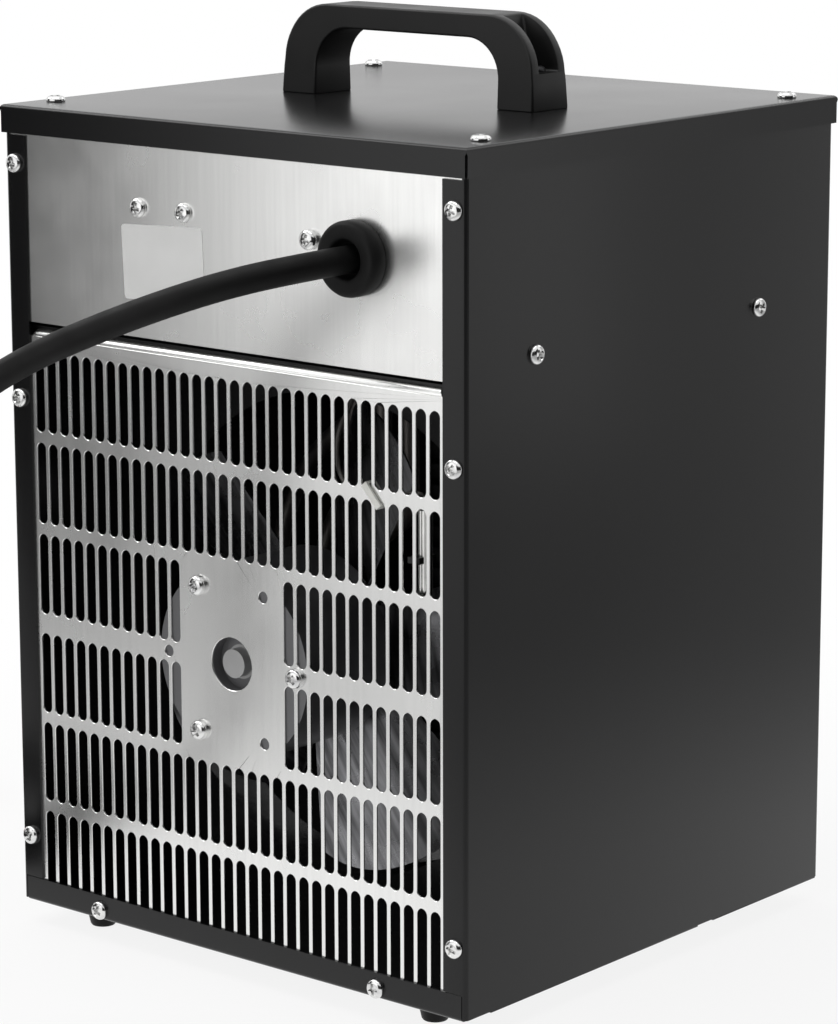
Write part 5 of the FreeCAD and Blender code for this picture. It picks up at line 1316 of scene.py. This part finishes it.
class HEATER_OT_cable(HeaterOperator, bpy.types.Operator):
    """Lay the supply cable, coil it and put its plug and tie on it"""
    bl_idname = "heater.cable"
    bl_label = "Cable and plug"

    def build(self):
        cable = settings("heater_cable")
        route = [mm(*point) for point in LEAD_ROUTE]
        route += self.coil(route[-1], cable)
        x, y, z = route[-1] - Vector((0, cable.diameter, 0))
        axis = cable.plug_axis
        route += [Vector((x, y, z)), Vector((x, y - TAIL_FLAT, z)), Vector((x, y - TAIL_RAISED, axis)),
                  Vector((x, y - TAIL_END, axis))]
        curve = bpy.data.curves.new("supply_cable", "CURVE")
        curve.dimensions = "3D"
        curve.bevel_depth = cable.diameter / 2
        curve.bevel_resolution = 6
        curve.resolution_u = 8
        curve.use_fill_caps = True
        spline = curve.splines.new("NURBS")
        spline.points.add(len(route) - 1)
        for point, place in zip(spline.points, route):
            point.co = (*place, 1)
        spline.order_u = 3
        spline.use_endpoint_u = True
        cord = bpy.data.objects.new("supply_cable", curve)
        bpy.context.scene.collection.objects.link(cord)
        curve.materials.append(MATERIALS["black_rubber"])
        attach(cord, BODY)
        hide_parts("cable_lead", "cable_coil", "cable_tail")
        pieces = [self.strap(cable), *self.plug(x, y - PLUG_START, axis)]

    @staticmethod
    def coil(start, cable):
        """Points of the turns: in, up a layer and out again, set wider so that the curve has the size."""
        turns, step = cable.coil_turns, cable.coil_step
        first = start + Vector((cable.diameter, 0, 0))
        middle = first - Vector((0, cable.coil_radius, 0))
        wider = 4 / (3 + math.cos(2 * math.pi / COIL_MARKS))
        count = round(turns * COIL_MARKS)
        spots = []
        for k in range(1, count + 1):
            turn = turns * (k - 0.5) / count
            radius = (cable.coil_radius - step * min(turn, turns - turn)) * wider
            climb = min(max((turn - turns / 2) / COIL_CLIMB + 0.5, 0), 1)
            spots.append((turn, radius, step * climb * climb * (3 - 2 * climb)))
        spots.append((turns, cable.coil_radius, step))
        points = [first]
        for turn, radius, rise in spots:
            angle = math.pi / 2 - 2 * math.pi * turn
            points.append(middle + Vector((radius * math.cos(angle), radius * math.sin(angle), rise)))
        return points

    @staticmethod
    def strap(cable):
        """A flat strap with round corners, round the turns of the coil."""
        low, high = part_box("cable_tie")
        middle = mm(*LEAD_ROUTE[-1]) + Vector((cable.diameter, -cable.coil_radius, 0))
        clear = cable.diameter / 2 + STRAP_CLEAR
        inner = cable.coil_radius - cable.coil_step * cable.coil_turns / 2 - clear
        outer = cable.coil_radius - cable.coil_step * (cable.coil_turns / 2 - 1) + clear
        form = bmesh.new()
        loops = []
        for grow, corner in ((0.0, STRAP_INNER_CORNER), (STRAP_THICK, STRAP_OUTER_CORNER)):
            margin = STRAP_THICK - grow
            ring = round_corners(inner - grow, outer + grow, low.z + margin, high.z - margin, corner, steps=5)
            for y in (-STRAP_WIDE / 2, STRAP_WIDE / 2):
                loops.append([form.verts.new((px, y, pz)) for px, pz in ring])
        inner_near, inner_far, outer_near, outer_far = loops
        bridge(form, inner_near, inner_far)
        bridge(form, outer_far, outer_near)
        bridge(form, outer_near, inner_near)
        bridge(form, outer_far, inner_far)
        turn = math.pi / 2 - math.pi * cable.coil_turns
        place = Matrix.Translation((middle.x, middle.y, 0)) @ Matrix.Rotation(turn, 4, "Z")
        bmesh.ops.transform(form, matrix=place, verts=form.verts)
        return finished("coil_strap", form, "black_plastic", replaces=["cable_tie"], smooth=40)

    def plug(self, x, y, z):
        """The plug's nut and its housing with grip ribs, collar, key and open sleeve."""
        place = Matrix.Translation((x, y, z)) @ Matrix.Rotation(math.pi / 2, 4, "X")
        tree = ring_of_bars_tree()
        form = turned(in_metres(NUT_PROFILE), steps=48)
        self.ribs(form, tree, NUT_RIB, "grey_plastic", count=25, radius=16.2, height=16.8)
        bmesh.ops.transform(form, matrix=place, verts=form.verts)
        nut = finished("plug_cord_nut", form, "grey_plastic", replaces=["plug_nut"], smooth=38)
        form = turned(in_metres(SHELL_PROFILE), steps=72)
        self.ribs(form, tree, SHELL_RIB, "red_plastic", count=31, radius=24.6, height=56)
        box(form, mm(*KEY_LOW), mm(*KEY_HIGH), KEY_ROUND)
        bmesh.ops.transform(form, matrix=place, verts=form.verts)
        body = finished("plug_housing", form, "red_plastic", replaces=["plug_body"], smooth=38)
        return [nut, body]

    @staticmethod
    def ribs(form, tree, bar, slot, count, radius, height):
        """Grip ribs round a turned form, at a radius and a height in millimetres."""
        bars = tree.apply(points_mesh([(0, 0, 0)]), {
            "Count": count, "Radius": radius * MM, "Start": 0.0, "Sweep": 2 * math.pi, "Bar": tuple(mm(*bar)),
            "Material": MATERIALS[slot]})
        bars.transform(Matrix.Translation((0, 0, height * MM)))
        form.from_mesh(bars)


# Knobs and marks; a dial has its first angle, sweep, ticks, ticks to a numeral and first numeral

DIALS = (("mode_knob", "mode_control", 90, -135, 4, 1, 0),
         ("thermostat_knob", "thermostat_control", 225, -270, 11, 2, 1))
PANEL_BEHIND_KNOB = 0.6 * MM
TICK_RADIUS = 22.5 * MM
TICK = (4.0, 0.8, 0.16)
TICK_SINK = 0.05 * MM
NUMERAL_RADIUS = 29.0 * MM
NUMERAL_SIZE = 5.5 * MM
NUMERAL_THICK = 0.06 * MM
DISC_PROFILE = ((0, 0), (17.2, 0), (18, 0.7), (18, 3.2), (17.6, 3.8), (16.8, 4.1), (14.5, 4.4), (0, 4.6))
FINGER_BAR = (4.5 * MM, 16.6 * MM)
FINGER_BAR_FOOT = 3.0 * MM
FINGER_BAR_ROUND = 1.6 * MM
LINE_HALF = 0.6 * MM
LINE_SPAN = (6.0 * MM, 15.0 * MM)
LINE_DEEP = 0.3 * MM
LINE_PROUD = 0.02 * MM


class HEATER_OT_controls(HeaterOperator, bpy.types.Operator):
    """Mould the two knobs and print the marks round them"""
    bl_idname = "heater.controls"
    bl_label = "Knobs and marks"

    def build(self):
        tree = ring_of_bars_tree()
        printed = bmesh.new()
        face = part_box("mode_knob")[1].y + PANEL_BEHIND_KNOB
        upright = Matrix.Rotation(math.pi / 2, 4, "X")
        for node, body, start, sweep, count, every, numeral in DIALS:
            low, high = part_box(node)
            middle = (low + high) / 2
            self.knob(node, body, middle, high.y - low.y, high.y)
            ticks = tree.apply(points_mesh([(0, 0, 0)]), {
                "Count": count, "Radius": TICK_RADIUS, "Start": math.radians(start),
                "Sweep": math.radians(sweep), "Bar": tuple(mm(*TICK)), "Material": MATERIALS["mark_white"]})
            ticks.transform(Matrix.Translation((middle.x, face - TICK_SINK, middle.z)) @ upright)
            printed.from_mesh(ticks)
            for k in range(0, count, every):
                turn = math.radians(start + sweep * k / (count - 1))
                spot = Vector((middle.x + NUMERAL_RADIUS * math.cos(turn), face,
                               middle.z + NUMERAL_RADIUS * math.sin(turn)))
                digit = self.digit(str(numeral + k // every))
                digit.transform(Matrix.Translation(spot) @ upright)
                printed.from_mesh(digit)
        finished("dial_marks", printed, "mark_white", smooth=30, clean=False)

    @staticmethod
    def digit(label):
        """One flat numeral as a mesh."""
        text = bpy.data.curves.new("numeral", "FONT")
        text.body = label
        text.size = NUMERAL_SIZE
        text.extrude = NUMERAL_THICK
        text.align_x = "CENTER"
        text.align_y = "CENTER"
        thing = scratch(text)
        mesh = evaluated_mesh(thing)
        discard(thing)
        return mesh

    @staticmethod
    def knob(node, body, middle, deep, back):
        """A stepped disc with a finger bar, and a white line at the bar's end."""
        place = Matrix.Translation((middle.x, back, middle.z)) @ Matrix.Rotation(math.pi / 2, 4, "X")
        x, y = FINGER_BAR
        form = turned(in_metres(DISC_PROFILE), steps=64)
        box(form, (-x, -y, FINGER_BAR_FOOT), (x, y, deep), FINGER_BAR_ROUND, 4)
        bmesh.ops.transform(form, matrix=place, verts=form.verts)
        finished(f"{node}_moulding", form, "black_plastic", body, [node], 38)
        start, end = LINE_SPAN
        line = box(bmesh.new(), (-LINE_HALF, start, deep - LINE_DEEP), (LINE_HALF, end, deep + LINE_PROUD),
                   LINE_PROUD, 1)
        bmesh.ops.transform(line, matrix=place, verts=line.verts)
        finished(f"{node}_line", line, "mark_white", body, smooth=30)


# Stage; places and sizes in metres, angles in degrees

FLOOR_HALF = 6.0
FLOOR_FADE = (0.15, 0.6)
CAMERA_PLACE = (-1.0448, 1.2396, 0.5355)
CAMERA_AZIMUTH = 220.19
CAMERA_ELEVATION = 12.225
CAMERA_ROLL = -0.149
CAMERA_LENS = 131.55
SENSOR_WIDTH = 36
LAMPS = {"key": ((1.3, 0.5, 1.6), 1.0), "far": ((-0.4, -1.5, 1.4), 1.0), "top": ((0.0, 0.2, 2.4), 2.0)}
LAMP_AIM = (0, 0, 0.2)
CARD_ENDS = ((-0.25, 0.74), (1.15, 0.5))
CARD_HEIGHT = 0.7
CARD_FADE_X = (0.36, 0.572)
CARD_FADE_Z = (0.1, 0.2)
CARD_FOOT_SHARE = 0.7
DARK_FLAGS = {"dark_flag": ((-2.8, 0.1), (-0.1, 2.8)), "side_flag": ((-2.8, 0.1), (-1.9, -1.0))}
DARK_HEIGHT = 1.5
GREY_ENDS = ((-1.19, -0.61), (-0.35, -1.45))
GREY_HEIGHT = 1.0
GREY_FADE_X = (-0.98, -0.83)
GREY_GLOW = (1.2, 0.55)
LOW_HALF = 2.0
LOW_ABOVE_FLOOR = 1.0 * MM
LOW_FADE = (0.3, 0.65)
LOW_GLOW = (1.0, 0.45)
BRIGHT_WAY = (0.63, -0.75, 0.2)
BRIGHT_FADE = (0.0, 0.9)


class HEATER_OT_stage(HeaterOperator, bpy.types.Operator):
    """Set the floor, the cards, the lamps and the camera"""
    bl_idname = "heater.stage"
    bl_label = "Stage"

    def build(self):
        stage = settings("heater_stage")
        bpy.context.scene.view_settings.view_transform = "Standard"
        self.floor(stage)
        self.card(stage.card)
        for name, ends in DARK_FLAGS.items():
            self.upright(name, *ends, DARK_HEIGHT, self.dull(name))
        self.grey_flag()
        self.low_flag()
        self.world(stage)
        for name, (place, size) in LAMPS.items():
            self.lamp(name, place, size, getattr(stage, name))
        self.camera()

    @staticmethod
    def camera():
        """The photo's view."""
        lens = bpy.data.cameras.new("camera")
        lens.sensor_width = SENSOR_WIDTH
        lens.lens = CAMERA_LENS
        lens.clip_start = 0.05
        lens.clip_end = 60
        camera = bpy.data.objects.new("camera", lens)
        bpy.context.scene.collection.objects.link(camera)
        azimuth, elevation = math.radians(CAMERA_AZIMUTH), math.radians(CAMERA_ELEVATION)
        back = Vector((math.sin(azimuth) * math.cos(elevation), -math.cos(azimuth) * math.cos(elevation),
                       math.sin(elevation)))
        camera.location = CAMERA_PLACE
        camera.rotation_mode = "QUATERNION"
        level_view = (-back).to_track_quat("-Z", "Y")
        camera.rotation_quaternion = level_view @ Quaternion((0, 0, 1), math.radians(CAMERA_ROLL))
        bpy.context.scene.camera = camera

    def floor(self, stage):
        """Paper that is white to the camera, except for a share of its own shade near the heater."""
        paper = Finish("floor_paper", (0.86, 0.86, 0.86), 0.9)
        nodes, links = paper.nodes, paper.links
        glow = nodes.new("ShaderNodeEmission")
        glow.inputs["Color"].default_value = (1, 1, 1, 1)
        white = paper.ramp(paper.reach(), 1 - stage.shadow, 1.0, *FLOOR_FADE, "SMOOTHSTEP")
        mix = nodes.new("ShaderNodeMixShader")
        links.new(combined(nodes, links, "MULTIPLY", self.seen(nodes, links), white), mix.inputs[0])
        links.new(paper.shader.outputs[0], mix.inputs[1])
        links.new(glow.outputs[0], mix.inputs[2])
        links.new(mix.outputs[0], nodes["Material Output"].inputs["Surface"])
        form = bmesh.new()
        bmesh.ops.create_grid(form, x_segments=1, y_segments=1, size=FLOOR_HALF)
        mesh = plain_mesh("floor", form)
        mesh.materials.append(paper.material)
        piece = bpy.data.objects.new("floor", mesh)
        bpy.context.scene.collection.objects.link(piece)

    @staticmethod
    def screen(name, corners, finish):
        """A card that lights or darkens reflections, and that the camera itself doesn't see."""
        mesh = bpy.data.meshes.new(name)
        mesh.from_pydata(corners, [], [(0, 1, 2, 3)])
        mesh.materials.append(finish.material)
        piece = bpy.data.objects.new(name, mesh)
        piece.visible_camera = False
        piece.visible_shadow = False
        bpy.context.scene.collection.objects.link(piece)
        return piece

    def upright(self, name, near, far, height, finish):
        """A card that stands on the floor."""
        return self.screen(name, [(*near, 0), (*far, 0), (*far, height), (*near, height)], finish)

    @staticmethod
    def dull(name, shade=0.01, rough=1.0):
        """A dark finish that can be made to glow white."""
        finish = Finish(name, (shade, shade, shade), rough)
        finish.shader.inputs["Emission Color"].default_value = (1, 1, 1, 1)
        return finish

    def grey_flag(self):
        """A card beside the heater that the black side mirrors, brighter at one end."""
        grey = self.dull("grey_flag")
        fade = grey.ramp(grey.along("X"), *GREY_GLOW, *GREY_FADE_X)
        grey.links.new(fade, grey.shader.inputs["Emission Strength"])
        self.upright("grey_flag", *GREY_ENDS, GREY_HEIGHT, grey)

    def low_flag(self):
        """A card on the floor that darkens away from the heater, for what its lower half mirrors."""
        low = self.dull("low_flag")
        fade = low.ramp(low.reach(), *LOW_GLOW, *LOW_FADE)
        low.links.new(fade, low.shader.inputs["Emission Strength"])
        corners = [(sx * LOW_HALF, sy * LOW_HALF, LOW_ABOVE_FLOOR) for sx, sy in CORNERS]
        piece = self.screen("low_flag", corners, low)
        piece.visible_diffuse = False

    def card(self, glow):
        """An upright card outside the view, bright at one end, that the back panel mirrors."""
        card = self.dull("card", shade=0.02, rough=0.9)
        fade = card.ramp(card.along("X"), glow, 0.0, *CARD_FADE_X)
        rise = card.ramp(card.along("Z"), CARD_FOOT_SHARE, 1.0, *CARD_FADE_Z)
        strength = combined(card.nodes, card.links, "MULTIPLY", fade, rise)
        card.links.new(strength, card.shader.inputs["Emission Strength"])
        self.upright("card", *CARD_ENDS, CARD_HEIGHT, card)

    @staticmethod
    def seen(nodes, links):
        """One for rays from the camera, a mirror or glass, and nought for the rest."""
        path = nodes.new("ShaderNodeLightPath")
        either = path.outputs["Is Camera Ray"]
        for word in ("Is Glossy Ray", "Is Transmission Ray"):
            either = combined(nodes, links, "MAXIMUM", either, path.outputs[word])
        return either

    def world(self, stage):
        """White to the camera; otherwise bright beyond the heater and dim behind the camera."""
        world = bpy.data.worlds.new("studio")
        world.use_nodes = True
        nodes, links = world.node_tree.nodes, world.node_tree.links
        around = nodes["Background"]
        around.inputs["Color"].default_value = (1, 1, 1, 1)
        way = nodes.new("ShaderNodeVectorMath")
        way.operation = "DOT_PRODUCT"
        way.inputs[1].default_value = BRIGHT_WAY
        links.new(nodes.new("ShaderNodeTexCoord").outputs["Generated"], way.inputs[0])
        strength = map_range(nodes, links, way.outputs["Value"], stage.dim, stage.bright, *BRIGHT_FADE,
                             "SMOOTHSTEP")
        links.new(strength, around.inputs["Strength"])
        white = nodes.new("ShaderNodeBackground")
        white.inputs["Color"].default_value = (1, 1, 1, 1)
        white.inputs["Strength"].default_value = 1.0
        mix = nodes.new("ShaderNodeMixShader")
        links.new(self.seen(nodes, links), mix.inputs[0])
        links.new(around.outputs[0], mix.inputs[1])
        links.new(white.outputs[0], mix.inputs[2])
        links.new(mix.outputs[0], nodes["World Output"].inputs["Surface"])
        bpy.context.scene.world = world

    @staticmethod
    def lamp(name, place, size, strength):
        light = bpy.data.lights.new(name, "AREA")
        light.shape = "DISK"
        light.size = size
        light.energy = strength
        thing = bpy.data.objects.new(name, light)
        thing.location = place
        thing.rotation_mode = "QUATERNION"
        thing.rotation_quaternion = (Vector(LAMP_AIM) - Vector(place)).to_track_quat("-Z", "Y")
        bpy.context.scene.collection.objects.link(thing)


OPERATORS = (HEATER_OT_finishes, HEATER_OT_stage, HEATER_OT_cable, HEATER_OT_lid, HEATER_OT_sides,
             HEATER_OT_base, HEATER_OT_inlet_grille, HEATER_OT_outlet_grille, HEATER_OT_fasteners,
             HEATER_OT_handle, HEATER_OT_feet, HEATER_OT_gland, HEATER_OT_controls)


class HEATER_PT_panel(bpy.types.Panel):
    """The heater's pieces and values"""
    bl_idname = "HEATER_PT_panel"
    bl_label = "Portable fan heater"
    bl_space_type = "VIEW_3D"
    bl_region_type = "UI"
    bl_category = "Heater"

    def draw(self, context):
        for operator in OPERATORS:
            self.layout.operator(operator.bl_idname)
        for name, group in zip(NAMES, GROUPS):
            holder = self.layout.box()
            for key in group.__annotations__:
                holder.prop(getattr(context.scene, name), key)


def register():
    for entry in GROUPS + OPERATORS + (HEATER_PT_panel,):
        bpy.utils.register_class(entry)
    for name, group in zip(NAMES, GROUPS):
        setattr(bpy.types.Scene, name, PointerProperty(type=group))


def unregister():
    for name in NAMES:
        delattr(bpy.types.Scene, name)
    for entry in reversed(GROUPS + OPERATORS + (HEATER_PT_panel,)):
        bpy.utils.unregister_class(entry)


def main():
    register()
    for operator in OPERATORS:
        word = operator.bl_idname.split(".")[1]
        getattr(bpy.ops.heater, word)()


if __name__ == "__main__":
    main()
